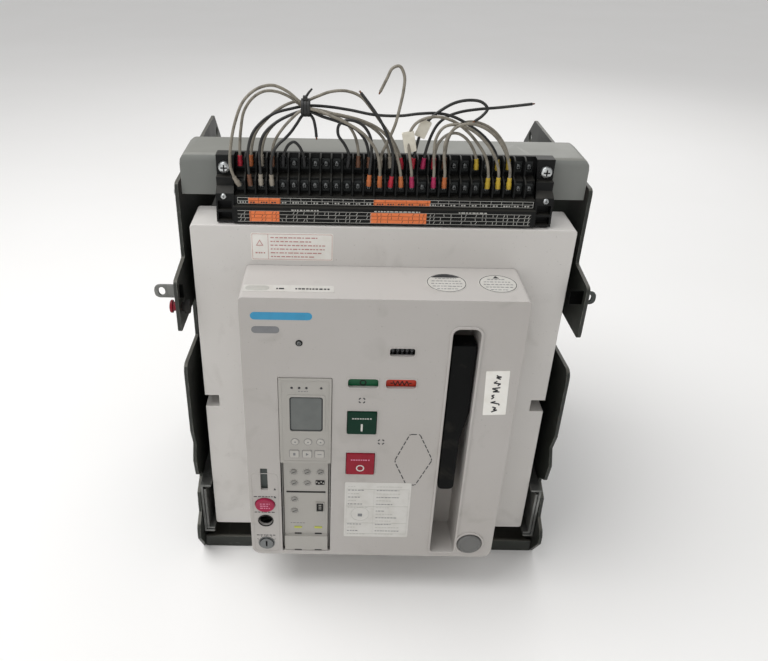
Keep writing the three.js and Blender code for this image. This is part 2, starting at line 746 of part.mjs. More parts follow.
// ---- Breaker: closing spring on its guide rod ----
const COILS = 7;
class Helix extends THREE.Curve {
  constructor(x, y, low, top, radius, turns) {
    super();
    Object.assign(this, { x, y, low, top, radius, turns });
  }
  getPoint(t, target = new THREE.Vector3()) {
    const angle = 2 * Math.PI * this.turns * t;
    return target.set(
      this.x + this.radius * Math.cos(angle),
      this.y + this.radius * Math.sin(angle),
      this.low + (this.top - this.low) * t,
    );
  }
}
function tube(curve, radius, sides, steps) {
  const section = new THREE.Shape();
  section.absarc(0, 0, radius, 0, 2 * Math.PI);
  const options = { extrudePath: curve, steps, curveSegments: sides / 2 };
  return solid(new THREE.ExtrudeGeometry(section, options));
}
const springLow = SPRING.seat + SPRING.wire + GAP;
const springTop = SPRING.top - SPRING.wire - GAP;
const coil = new Helix(SPRING.x, SPRING.y, springLow, springTop, SPRING.coil, COILS);
add("closing_spring", tube(coil, SPRING.wire, 6, COILS * 10), steel);
const GUIDE = { flange: SPRING.coil + 3, thick: 4, rod: 6, low: SPRING.seat + 2 };
const springGuide = joined([
  rodZ(SPRING.x, SPRING.y, SPRING.top, SPRING.top + GUIDE.thick, GUIDE.flange, 20),
  rodZ(SPRING.x, SPRING.y, GUIDE.low, SPRING.top + 1, GUIDE.rod, 16),
]);
add("spring_guide_rod", springGuide, steel);

// ---- Breaker: trip relay ----
const relayRear = -140;
const relayFront = { upper: COVER_FRONT - 1.2, plate: COVER_FRONT + 3.4, strip: COVER_FRONT + 0.6 };
const LOWER = { inset: 1.9, plateLow: 69 };
const relayBody = joined([
  block(RELAY.left, RELAY.right, relayFront.upper, relayRear, RELAY.step, RELAY.top),
  block(
    RELAY.left + LOWER.inset,
    RELAY.right - LOWER.inset,
    relayFront.plate,
    relayRear,
    RELAY.low,
    RELAY.step + 1,
  ),
  block(
    RELAY.left + LOWER.inset,
    RELAY.right - LOWER.inset,
    relayFront.strip,
    relayRear,
    RELAY.low,
    LOWER.plateLow,
  ),
]);
const DISPLAY = { left: -75.7, right: -47.1, low: 196, top: 232.6 };
const displayRecess = plateY(
  rectangle(DISPLAY.left, DISPLAY.right, DISPLAY.low, DISPLAY.top, 1.6),
  relayFront.upper - 1,
  relayFront.upper + 1.2,
  2,
);
add("trip_relay", relayBody.subtract(displayRecess), relayPlastic);

// ---- Breaker: buttons, flags, counter, pointer, lock, handles ----
for (const [name, z] of [
  ["on_button", BUTTON.on],
  ["off_button", BUTTON.off],
]) {
  const face = rectangle(
    BUTTON.x - BUTTON.width / 2,
    BUTTON.x + BUTTON.width / 2,
    z - BUTTON.height / 2,
    z + BUTTON.height / 2,
    0.8,
  );
  const stem = rodY(BUTTON.x, COVER_FRONT + 8, COVER_FRONT + 26, z, 4, 16);
  const cap = plateY(face, COVER_FRONT - 1.6, COVER_FRONT + 10, 2);
  add(name, cap.add(stem), name === "on_button" ? greenPlastic : redPlastic);
}

for (const [name, x, material] of [
  ["on_off_flag", FLAG.on, greenPlastic],
  ["charge_flag", FLAG.charge, redPlastic],
]) {
  const half = FLAG.width / 2 + 1.2;
  const rear = BEHIND_COVER + 2;
  const plate = block(x - half, x + half, BEHIND_COVER, rear, FLAG.z - 6, FLAG.z + 16);
  add(name, plate, material);
}

const WHEEL_RADIUS = 6.2;
const wheelY = BEHIND_COVER + WHEEL_RADIUS;
const wheelEnd = COUNTER.width / 2 - 0.6;
const wheel = rodX(COUNTER.x - wheelEnd, COUNTER.x + wheelEnd, wheelY, COUNTER.z, WHEEL_RADIUS, 20);
add("counter_wheel", wheel, whitePlastic);

const resetButton = joined([
  rodY(LOCK_X, COVER_FRONT - 2.4, COVER_FRONT + 10, RESET.z, RESET.rx, 28, RESET.rz / RESET.rx),
  rodY(LOCK_X, COVER_FRONT + 9, COVER_FRONT + 24, RESET.z, 4, 16),
]);
add("reset_button", resetButton, redPlastic);

const pointerHalf = POINTER.width / 2 + 1.8;
const pointer = block(
  LOCK_X - pointerHalf,
  LOCK_X + pointerHalf,
  BEHIND_COVER,
  BEHIND_COVER + 2,
  POINTER.low - 8,
  POINTER.top + 14,
);
add("position_pointer", pointer, darkGrey);

const KEYHOLE = { halfWidth: 0.7, halfHeight: 3.4, depth: 4 };
const keySlot = block(
  LOCK_X - KEYHOLE.halfWidth,
  LOCK_X + KEYHOLE.halfWidth,
  COVER_FRONT - 3,
  COVER_FRONT + KEYHOLE.depth,
  KEY_Z - KEYHOLE.halfHeight,
  KEY_Z + KEYHOLE.halfHeight,
);
const keyBarrel = rodY(LOCK_X, COVER_FRONT - 1.6, COVER_FRONT + 24, KEY_Z, KEY_RADIUS, 24);
add("key_lock", keyBarrel.subtract(keySlot), steel);

const SCREW = { front: COVER_FRONT + 10, head: 5.4, headLength: 10, socket: 2.2, shank: 4.4, rear: -30 };
const screwNeck = SCREW.front + SCREW.headLength;
const screwHead = rodY(LOCK_X, SCREW.front, screwNeck, RACKING_Z, SCREW.head, 20);
const screwShank = rodY(LOCK_X, screwNeck - 1, SCREW.rear, RACKING_Z, SCREW.shank, 16);
const screwSocket = block(
  LOCK_X - SCREW.socket,
  LOCK_X + SCREW.socket,
  SCREW.front - 1,
  SCREW.front + 5,
  RACKING_Z - SCREW.socket,
  RACKING_Z + SCREW.socket,
);
add("racking_screw", joined([screwHead, screwShank]).subtract(screwSocket), steel);

const handleShape = outline([
  [57, 128, 5],
  [71.5, 128, 5],
  [71.5, 186, 12],
  [76.8, 214, 12],
  [76.8, 281.5, 2],
  [57, 281.5, 2],
]);
const HANDLE = { front: COVER_FRONT + 4, rear: COVER_FRONT + 22 };
add("charging_handle", plateY(handleShape, HANDLE.front, HANDLE.rear), blackPlastic);

const rackingHandle = joined([
  rodY(KNOB.x, COVER_FRONT - 3, COVER_FRONT + 8, KNOB.z, KNOB.radius, 28),
  rodY(KNOB.x, COVER_FRONT + 7, PANEL_FRONT + 20, KNOB.z, KNOB.shaft, 6),
]);
add("racking_handle", rackingHandle, knobGrey);

// ---- Control wires: each route runs from a terminal to another terminal or to a cut end ----
const routes = {
  wire_grey_outer_loop: [
    [-117, -118.5, 390], [-120.5, -120.5, 397], [-123.2, -121.5, 407], [-122, -120.5, 423],
    [-118.3, -116, 440], [-111.7, -111, 455], [-101.5, -107.5, 463.5], [-89.3, -106.4, 466.2],
    [-77.5, -106.4, 461.5], [-70, -106.6, 455.4], [-64, -106.4, 450.6], [-50, -106, 446.4],
    [-37, -105.6, 444.2], [-19.5, -105.2, 439.8], [-5, -105, 432.8], [4.6, -107.6, 423.4],
    [9.4, -114.2, 412.6], [12.2, -117.4, 401], [13, -118.5, 390.5],
  ],
  wire_grey_inner_loop: [
    [-116.9, -108.6, 403], [-116.6, -108.8, 417], [-115.2, -107.6, 432], [-112.2, -105.6, 446],
    [-105, -104, 456], [-96, -103.2, 460.9], [-86, -103, 460.6], [-75, -104.4, 456.4],
    [-70, -104.6, 452.6], [-64, -103.3, 449], [-50, -101.9, 446], [-33, -101, 441.4], [-16, -101, 436.2],
    [-3.4, -102.4, 427], [2.6, -106.4, 416], [4.3, -108.6, 403],
  ],
  wire_black_long_bridge: [
    [-108.2, -118.5, 390], [-109.2, -118.6, 403], [-109.4, -116, 417], [-105.5, -112.5, 430.5],
    [-98, -107, 438.6], [-88, -104.6, 444.6], [-76, -102, 447.4], [-64, -100.1, 449.4],
    [-50, -98.8, 449], [-30, -98.2, 446.4], [-10, -100.4, 443.4], [10.4, -101.6, 443.2],
    [25, -103, 445.4], [40, -103, 446], [52, -103.8, 443.8], [65.2, -106, 437.8],
    [78.2, -109, 428.9], [87.5, -111.4, 417], [90.9, -108.6, 403],
  ],
  wire_black_low_bundle: [
    [-99.6, -118.5, 390.5], [-99.9, -118.4, 404], [-100.2, -116.4, 418], [-97, -114, 429.4],
    [-89, -111, 437.4], [-77, -107.8, 443.6], [-64, -106.8, 447.2], [-50, -104, 442],
    [-36, -103.6, 437.6], [-24, -104.4, 432.6], [-16.4, -106, 424], [-13.4, -108.4, 413.4],
    [-13, -108.6, 403],
  ],
  wire_grey_high_arc: [
    [-108.2, -108.6, 403], [-107.6, -108.6, 415], [-104, -105.6, 428.5], [-95, -101.6, 439],
    [-84, -100.2, 447.6], [-74, -100.2, 452.2], [-64, -101.8, 453.6], [-56, -99.8, 456.4],
    [-44.4, -97.2, 460], [-31.8, -96.2, 460.4], [-20.7, -96.2, 456.2], [-12.5, -96.8, 447.5],
    [-4.8, -97.6, 437.6], [3, -99.6, 427.6], [9.6, -105, 416.8], [12.8, -108.2, 408.6],
    [13, -108.6, 402.5],
  ],
  wire_black_cut_short: [
    [4.3, -118.5, 390.5], [5.4, -118.4, 404], [5, -117.8, 418], [0.5, -116.4, 431],
    [-6, -112.8, 443], [-13.5, -108.2, 452.5], [-21, -104.2, 461],
  ],
  wire_black_side_loop: [
    [-30.3, -108.6, 403], [-29.4, -110.4, 414], [-33, -111.8, 422.6], [-38.2, -112, 430.5],
    [-37.6, -111.4, 438], [-30.5, -111, 441.7], [-19.6, -111, 438.3], [-13, -112.8, 429.5],
    [-11.6, -115.6, 417], [-12.6, -117.8, 404], [-13, -118.5, 391],
  ],
  wire_black_small_hook: [
    [-82.3, -108.6, 403], [-81.4, -110, 413], [-77.4, -111.8, 421.6], [-73, -112.4, 424.2],
    [-68.8, -112, 420.4], [-65.6, -110, 411.6], [-65, -108.6, 403],
  ],
  wire_grey_tall_hook: [
    [-4.3, -108.6, 403], [-3.2, -111.2, 415], [1.6, -112.2, 427], [6.3, -110.8, 439],
    [9.3, -107.6, 450.9], [11.9, -103, 463.3], [12.2, -99.6, 473.4], [8.2, -98.2, 480.2],
    [2.8, -98.6, 478.7], [-1.2, -100.4, 471.4], [-6.1, -102.6, 461.7],
  ],
  wire_black_long_tail: [
    [30.3, -108.6, 403], [32, -108.4, 417], [36, -104.4, 429], [41, -99.8, 436.6],
    [48, -97.2, 441.8], [58, -96, 445.4], [72.4, -95.6, 447.8], [88, -95.2, 449.2],
    [101.6, -95.2, 450.8], [114.7, -95.6, 452.6],
  ],
  wire_black_hook: [
    [21.7, -108.6, 403], [23.6, -109.6, 418], [27, -107.8, 431.4], [32.6, -107.4, 441.6],
    [41.4, -105.8, 448.8], [53, -102.6, 454.4], [65, -101.4, 456.2], [73.8, -101.8, 454.8],
    [78.4, -103, 450.2], [75, -104.2, 445.2], [69, -105, 440.7],
  ],
  wire_grey_right_arc: [
    [21.7, -118.5, 390.5], [20.6, -118.2, 404], [18.2, -116.2, 418], [17.4, -113, 431],
    [23.2, -111, 440.6], [37, -110.4, 445.2], [51, -110.2, 442.2], [62.6, -110.8, 434.8],
    [72.3, -112.4, 424.9], [79.6, -115.2, 414], [82.2, -118, 402], [82.3, -118.5, 390.5],
  ],
};
const STEP = 3 * WIRE;
for (const [name, points] of Object.entries(routes)) {
  const nodes = points.map((point) => new THREE.Vector3(...point));
  const curve = new THREE.CatmullRomCurve3(nodes, false, "centripetal");
  const steps = Math.round(curve.getLength() / STEP);
  const material = name.includes("black") ? blackWire : greyWire;
  add(name, tube(curve, WIRE / 2, 8, steps), material);
}

export default assembly;
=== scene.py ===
"""A draw-out air circuit breaker in its cradle: the looks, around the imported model.

Metres. +X is to the right, +Y to the rear, +Z up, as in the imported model.
"""
import json
import math
import random

import bmesh
import bpy
from mathutils import Matrix, Vector

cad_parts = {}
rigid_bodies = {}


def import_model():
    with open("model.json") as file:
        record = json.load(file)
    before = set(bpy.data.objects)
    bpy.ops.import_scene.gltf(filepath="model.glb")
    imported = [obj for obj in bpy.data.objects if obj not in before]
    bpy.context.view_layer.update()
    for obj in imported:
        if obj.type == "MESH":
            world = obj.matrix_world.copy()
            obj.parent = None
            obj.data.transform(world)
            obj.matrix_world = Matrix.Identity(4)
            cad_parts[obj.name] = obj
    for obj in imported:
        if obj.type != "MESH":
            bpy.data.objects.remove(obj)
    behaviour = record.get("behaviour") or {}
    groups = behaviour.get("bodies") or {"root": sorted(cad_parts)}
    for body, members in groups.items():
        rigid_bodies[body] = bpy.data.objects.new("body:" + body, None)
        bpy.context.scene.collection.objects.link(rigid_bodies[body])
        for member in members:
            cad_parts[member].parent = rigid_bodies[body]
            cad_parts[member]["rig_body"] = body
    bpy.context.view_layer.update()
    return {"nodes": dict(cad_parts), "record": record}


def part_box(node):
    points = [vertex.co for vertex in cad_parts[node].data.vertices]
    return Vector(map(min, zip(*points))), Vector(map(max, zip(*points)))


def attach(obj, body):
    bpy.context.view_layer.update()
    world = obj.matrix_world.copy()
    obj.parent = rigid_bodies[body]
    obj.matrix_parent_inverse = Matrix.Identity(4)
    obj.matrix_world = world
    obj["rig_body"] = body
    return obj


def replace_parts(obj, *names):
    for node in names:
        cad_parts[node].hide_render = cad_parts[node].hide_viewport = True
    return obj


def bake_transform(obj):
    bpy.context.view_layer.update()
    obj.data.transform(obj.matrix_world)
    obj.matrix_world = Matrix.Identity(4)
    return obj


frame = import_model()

SLOT_OF = {row["node"]: row["material_slot"] for row in frame["record"]["subparts"]}

# ---- Places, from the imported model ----
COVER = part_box("control_cover")
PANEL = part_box("front_panel")
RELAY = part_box("trip_relay")
PLATE_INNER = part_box("cradle_side_plate_right")[0].x
FACE = COVER[0].y
PANEL_FACE = PANEL[0].y
COVER_TOP = COVER[1].z
INK = 0.00012
LABEL = 0.00025


# ---- Camera ----
def make_camera():
    data = bpy.data.cameras.new("camera")
    data.sensor_width = 36
    data.lens = 35.2
    data.shift_x = 0.0633
    camera = bpy.data.objects.new("camera", data)
    turn = Matrix.Rotation(math.radians(59.244), 4, "X")
    roll = Matrix.Rotation(math.radians(0.933), 4, "Z")
    camera.matrix_world = Matrix.Translation((-0.0379, -0.698, 0.600)) @ turn @ roll
    bpy.context.scene.collection.objects.link(camera)
    bpy.context.scene.camera = camera


make_camera()


# ---- Materials ----
def rgb(code):
    """A colour written as six hex digits, as the shader's linear colour."""
    parts = [int(code[k : k + 2], 16) / 255 for k in (0, 2, 4)]
    linear = [c / 12.92 if c <= 0.04045 else ((c + 0.055) / 1.055) ** 2.4 for c in parts]
    return (*linear, 1.0)


class Finish:
    """A procedural material, built up in layers over one Principled shader."""

    def __init__(self, name, color, roughness=0.5, metallic=0.0):
        self.material = bpy.data.materials.new(name)
        self.material.use_nodes = True
        self.tree = self.material.node_tree
        self.shader = self.tree.nodes["Principled BSDF"]
        self.shader.inputs["Metallic"].default_value = metallic
        self.place = self.node("ShaderNodeTexCoord").outputs["Object"]
        self.color = rgb(color)
        self.roughness = roughness
        self.height = None

    def node(self, kind, inputs=None, **settings):
        made = self.tree.nodes.new(kind)
        for key, value in settings.items():
            setattr(made, key, value)
        return self.feed(made, inputs or {})

    def feed(self, node, inputs):
        """Links a node's inputs to sockets, or sets them to values."""
        for key, value in inputs.items():
            if isinstance(value, bpy.types.NodeSocket):
                self.tree.links.new(value, node.inputs[key])
            else:
                node.inputs[key].default_value = value
        return node

    def noise(self, scale, detail=3.0, stretch=(1, 1, 1), distortion=0.0):
        place = self.node("ShaderNodeMapping", {"Scale": stretch, "Vector": self.place}).outputs["Vector"]
        inputs = {"Scale": scale, "Detail": detail, "Distortion": distortion, "Vector": place}
        return self.node("ShaderNodeTexNoise", inputs).outputs["Fac"]

    def patches(self, scale, detail, low, high, most=1.0, **shape):
        """Soft patches, from where the noise lies between two levels."""
        return self.step(self.noise(scale, detail, **shape), low, high, 0.0, most)

    def math(self, operation, a, b=0.0):
        return self.node("ShaderNodeMath", {0: a, 1: b}, operation=operation).outputs[0]

    def parts(self, vector):
        """The three parts of a vector."""
        return self.node("ShaderNodeSeparateXYZ", {0: vector}).outputs

    def step(self, value, low, high, out_low=0.0, out_high=1.0):
        inputs = {"From Min": low, "From Max": high, "To Min": out_low, "To Max": out_high, "Value": value}
        return self.node("ShaderNodeMapRange", inputs).outputs["Result"]

    def over(self, color, mask, amount=1.0):
        """Lays another colour over what is there, where the mask is white, up to that amount."""
        if amount != 1.0:
            mask = self.math("MULTIPLY", mask, amount)
        inputs = {"Factor": mask, "A": self.color, "B": rgb(color)}
        self.color = self.node("ShaderNodeMix", inputs, data_type="RGBA").outputs["Result"]
        return self

    def rougher(self, mask, amount):
        """Adds to the roughness where the mask is white, or takes away below zero."""
        self.roughness = self.math("ADD", self.roughness, self.math("MULTIPLY", mask, amount))
        return self

    def raise_by(self, mask, amount):
        """Raises the surface by up to that many metres where the mask is white."""
        lift = self.math("MULTIPLY", mask, amount)
        self.height = lift if self.height is None else self.math("ADD", self.height, lift)
        return self

    def normal(self):
        return self.node("ShaderNodeNewGeometry").outputs["Normal"]

    def facing_up(self):
        """White on faces that look up, where dust settles and where the grey moulding takes its painted
        highlight.
        """
        return self.step(self.parts(self.normal())["Z"], 0.45, 0.95)

    def edges(self, radius):
        """White within about that radius of a sharp edge."""
        soft = self.node("ShaderNodeBevel", {"Radius": radius}, samples=4).outputs["Normal"]
        inputs = {0: soft, 1: self.normal()}
        dot = self.node("ShaderNodeVectorMath", inputs, operation="DOT_PRODUCT")
        return self.step(dot.outputs["Value"], 0.985, 0.88)

    def done(self):
        self.feed(self.shader, {"Base Color": self.color, "Roughness": self.roughness})
        if self.height is not None:
            bump = self.node("ShaderNodeBump", {"Strength": 1.0, "Distance": 1.0, "Height": self.height})
            self.feed(self.shader, {"Normal": bump.outputs["Normal"]})
        return self.material


def moulded(
    name, color, shade, roughness=0.5, grain=1800, depth=0.00002,
    dirt="6d675c", dust=0.25, dust_and_top_light_tone="a9a498", shine=0.5,
):
    """Moulded plastic: fine spark-eroded grain, slow colour drift, smudges, and a tone on faces that look
    up: dust, and on the grey moulding a painted highlight of light from above.
    """
    made = Finish(name, color, roughness)
    made.shader.inputs["Specular IOR Level"].default_value = shine
    made.over(shade, made.patches(9, 4, 0.35, 0.75, 0.55))
    smudge = made.patches(34, 7, 0.6, 0.78, distortion=0.6)
    made.over(dirt, smudge, 0.16)
    specks = made.patches(620, 2, 0.72, 0.76)
    made.over(dirt, specks, 0.35)
    # Faces that look up take this tone: dust, except on the grey moulding, where the pale tone is a painted
    # highlight of light from above.
    made.over(dust_and_top_light_tone, made.facing_up(), dust)
    made.rougher(smudge, 0.12)
    return made.raise_by(made.noise(grain, 2), depth).done()


def painted(name, color, shade, bare, wear=0.85, roughness=0.42):
    """Painted sheet steel: orange peel, scuffs, dust, and bare metal along worn edges."""
    made = Finish(name, color, roughness, 0.15)
    made.over(shade, made.patches(14, 5, 0.35, 0.7, 0.7))
    scuffs = made.patches(60, 6, 0.66, 0.74, stretch=(1, 0.25, 4), distortion=1.2)
    made.over(bare, scuffs, 0.25)
    made.over("8a867c", made.facing_up(), 0.3)
    worn = made.math("MULTIPLY", made.edges(0.0008), made.patches(150, 5, 0.4, 0.62))
    made.over(bare, worn, wear)
    made.rougher(made.noise(45, 4), 0.2)
    return made.raise_by(made.noise(700, 2), 0.00002).raise_by(worn, -0.00003).done()


def metal(name, color, shade, roughness=0.3, spangle=0.0, stretch=(1, 1, 1), grain=900, painted_shade_within=0.0):
    """Bare or plated metal: drawn grain, tarnish, zinc spangle, and near-black within a distance of the
    middle, painted shade on what lies inside the side plates.
    """
    made = Finish(name, color, roughness, 1.0)
    made.over(shade, made.patches(22, 6, 0.38, 0.72, 0.75))
    if spangle:
        cells = made.node("ShaderNodeTexVoronoi", {"Scale": 150, "Vector": made.place})
        flakes = made.parts(cells.outputs["Color"])
        made.over(shade, flakes["X"], spangle)
        made.rougher(flakes["Y"], 0.16)
    if painted_shade_within:
        # Painted shade: near-black where the part lies inside the side plates.
        aside = made.math("ABSOLUTE", made.parts(made.place)["X"])
        made.over("0c0d0c", made.step(aside, painted_shade_within, painted_shade_within - 0.0002))
    drawn = made.noise(grain, 3, stretch=stretch)
    made.rougher(drawn, 0.2)
    return made.raise_by(drawn, 0.000015).done()


def glossy(name, color, shade, roughness=0.34, shine=0.3):
    """Smooth coloured plastic with a few hairline scratches."""
    made = Finish(name, color, roughness)
    made.shader.inputs["Specular IOR Level"].default_value = shine
    made.over(shade, made.patches(70, 4, 0.35, 0.7, 0.6))
    made.rougher(made.patches(240, 5, 0.66, 0.7, stretch=(6, 1, 0.4)), 0.25)
    return made.raise_by(made.noise(900, 2), 0.000008).done()


def printed(name, color, shade, roughness=0.45):
    """Label stock and print: slightly uneven, with rubbed patches."""
    made = Finish(name, color, roughness)
    made.over(shade, made.patches(120, 5, 0.4, 0.72, 0.6))
    return made.raise_by(made.noise(1500, 2), 0.000006).done()


def insulation(name, color, shade):
    """Soft wire insulation: faint lengthwise ripples, handling grime."""
    made = Finish(name, color, 0.42)
    grime = made.patches(180, 6, 0.45, 0.7)
    made.over(shade, grime, 0.7)
    made.rougher(grime, 0.15)
    return made.raise_by(made.noise(500, 3), 0.00004).done()


FINE = {
    # The grey moulding's pale top tone is a painted highlight of the light on its roof.
    "grey_plastic": moulded("grey_moulding", "b1ada9", "a6a19b", 0.46, dust=0.27, dust_and_top_light_tone="dcd9d6"),
    "relay_plastic": moulded("relay_moulding", "a5a29c", "99958e", 0.42, grain=2400, dust=0.0),
    "black_moulding": moulded("black_moulding", "0e0f0f", "0a0b0b", dirt="5f5c55", dust=0.05, shine=0.2),
    "arc_chute_board": moulded("arc_chute_composite", "8a4a36", "6e3a2b", 0.7, grain=700, depth=0.0001),
    "shutter_board": moulded("shutter_laminate", "6d4a3c", "5a3b30", 0.6, grain=500, depth=0.00006),
    "dark_grey_plastic": moulded("pointer_plastic", "3a4340", "2c3431", 0.45, dust=0.0),
    "knob_grey": moulded("knob_plastic", "696967", "5a5a58", 0.5, grain=1200, depth=0.00005, dust=0.0),
    "white_plastic": moulded("white_plastic", "e4e1d9", "cfcbc0", 0.4, dust=0.0),
    "black_steel": painted("black_painted_steel", "2c2f2a", "20221f", "8d8d85"),
    "beam_paint": painted("grey_painted_steel", "7c7e7a", "6d706c", "b4b4ae", wear=0.5),
    "galvanised": metal("galvanised_steel", "90918e", "626361", 0.4, spangle=0.45),
    "bright_steel": metal("zinc_plated_steel", "c9cccc", "9b9ea0", 0.24, stretch=(1, 8, 1)),
    "plated_copper": metal("silver_plated_copper", "cfcabd", "a3927a", 0.26, stretch=(1, 6, 1)),
    "green_plastic": glossy("green_plastic", "022f20", "022518", shine=0.15),
    "red_plastic": glossy("red_plastic", "8c182a", "781424", shine=0.2),
    "black_wire": insulation("black_insulation", "161717", "33322f"),
    "grey_wire": insulation("grey_insulation", "817b6f", "524d44"),
}
PANEL_GREY = moulded("panel_moulding", "d0cdc9", "c5c1bc", 0.46, dust=0.0)
CLAMP = metal("terminal_clamp_steel", "464848", "363838", 0.5)
SCREW = metal("terminal_screw_steel", "7c7e7e", "636565", 0.38)
CRIMSON = glossy("crimson_plastic", "9f1d45", "861738")
ORANGE = printed("orange_label", "e87b42", "d96d36")
WHITE = printed("white_label", "e9e7e1", "dcd8cf")
SILVER = printed("silver_label", "cbc9c4", "bdbab3")
PALE_INK = printed("pale_ink", "b9b8b2", "9c9b95")
DARK_INK = printed("dark_ink", "222326", "35363a")
RED_INK = printed("red_ink", "bc8985", "ae7a76")
BLUE_INK = printed("blue_ink", "2f8fb8", "2a83aa")
PINK_INK = printed("pink_ink", "cf7f9a", "bd6d88")
GREY_INK = printed("grey_ink", "77787a", "66676a")
PAPER = printed("off_white_tag", "d9d4c6", "bdb6a4", 0.7)
# The padlock tabs are near-black inside the side plates: painted shade.
TAB = metal("padlock_tab_steel", "90918e", "626361", 0.4, spangle=0.45, painted_shade_within=PLATE_INNER)
DULL_TAB = metal("dull_tab_steel", "5b5e5c", "3f4240", 0.5, spangle=0.4, painted_shade_within=PLATE_INNER)
GLASS = glossy("display_glass", "3f4142", "343637", 0.12)
LIQUID = glossy("display_panel", "686b69", "5a5e5c", 0.3)
KEY = moulded("relay_key_plastic", "b3b0aa", "a6a29b", 0.4, dust=0.0)
DIAL = moulded("relay_dial_plastic", "8b8984", "7b7974", 0.45, dust=0.0)
HANDLE = moulded("handle_moulding", "070808", "050606", 0.5, dust=0.0, shine=0.1)
FLAG_GREEN = glossy("green_flag", "0b5b37", "094a2d")
FLAG_RED = glossy("red_flag", "c23a26", "a93020")
# Near-black for print and dark parts, and painted shade where it fills hollows such as the crosses of
# screws.
BLACK_AND_HOLLOW_SHADE = moulded("black_and_painted_shade", "0c0c0c", "070707", 0.8, dust=0.0)
AMBER = glossy("yellow_green_plastic", "b9bd5a", "a2a548")
COPPER = metal("bare_copper", "7d5238", "5f3f2c", 0.45)
SLEEVES = {
    name: glossy(name + "_sleeve", color, shade, 0.4)
    for name, color, shade in (
        ("red", "b02838", "8f1f2d"),
        ("pink", "a42a53", "862043"),
        ("orange", "b5673b", "94512d"),
        ("yellow", "bda036", "9a8229"),
        ("brown", "6b4a38", "573b2c"),
        ("grey", "958e82", "776f63"),
        ("black", "1d1d1e", "2a2a2a"),
    )
}


# ---- Shapes ----
def at(axis, u, v, w):
    """A point from two coordinates in the plane across an axis, and one along it."""
    return Vector({"x": (w, u, v), "y": (u, w, v), "z": (u, v, w)}[axis])


def polar(centre, radius, degrees):
    """The point at a radius and an angle about a centre."""
    angle = math.radians(degrees)
    return (centre[0] + radius * math.cos(angle), centre[1] + radius * math.sin(angle))


def rounded(u0, u1, v0, v1, radius, steps=4):
    """A rectangle's outline with round corners."""
    points = []
    corners = ((u1, v1, 0), (u0, v1, 90), (u0, v0, 180), (u1, v0, 270))
    for u, v, start in corners:
        centre_u = u - math.copysign(radius, u - (u0 + u1) / 2)
        centre_v = v - math.copysign(radius, v - (v0 + v1) / 2)
        for step in range(steps + 1):
            points.append(polar((centre_u, centre_v), radius, start + 90 * step / steps))
    return points


def grown(box, by):
    """A (u0, u1, v0, v1) box, larger by that much all round."""
    u0, u1, v0, v1 = box
    return (u0 - by, u1 + by, v0 - by, v1 + by)


def circle(u, v, radius, steps=32, squash=1.0):
    angles = [2 * math.pi * k / steps for k in range(steps)]
    return [(u + radius * math.cos(a), v + radius * squash * math.sin(a)) for a in angles]


def line(start, end, width):
    """The four corners of a straight stroke."""
    a, b = Vector(start), Vector(end)
    side = (b - a).orthogonal().normalized() * width / 2
    return [tuple(a + side), tuple(b + side), tuple(b - side), tuple(a - side)]


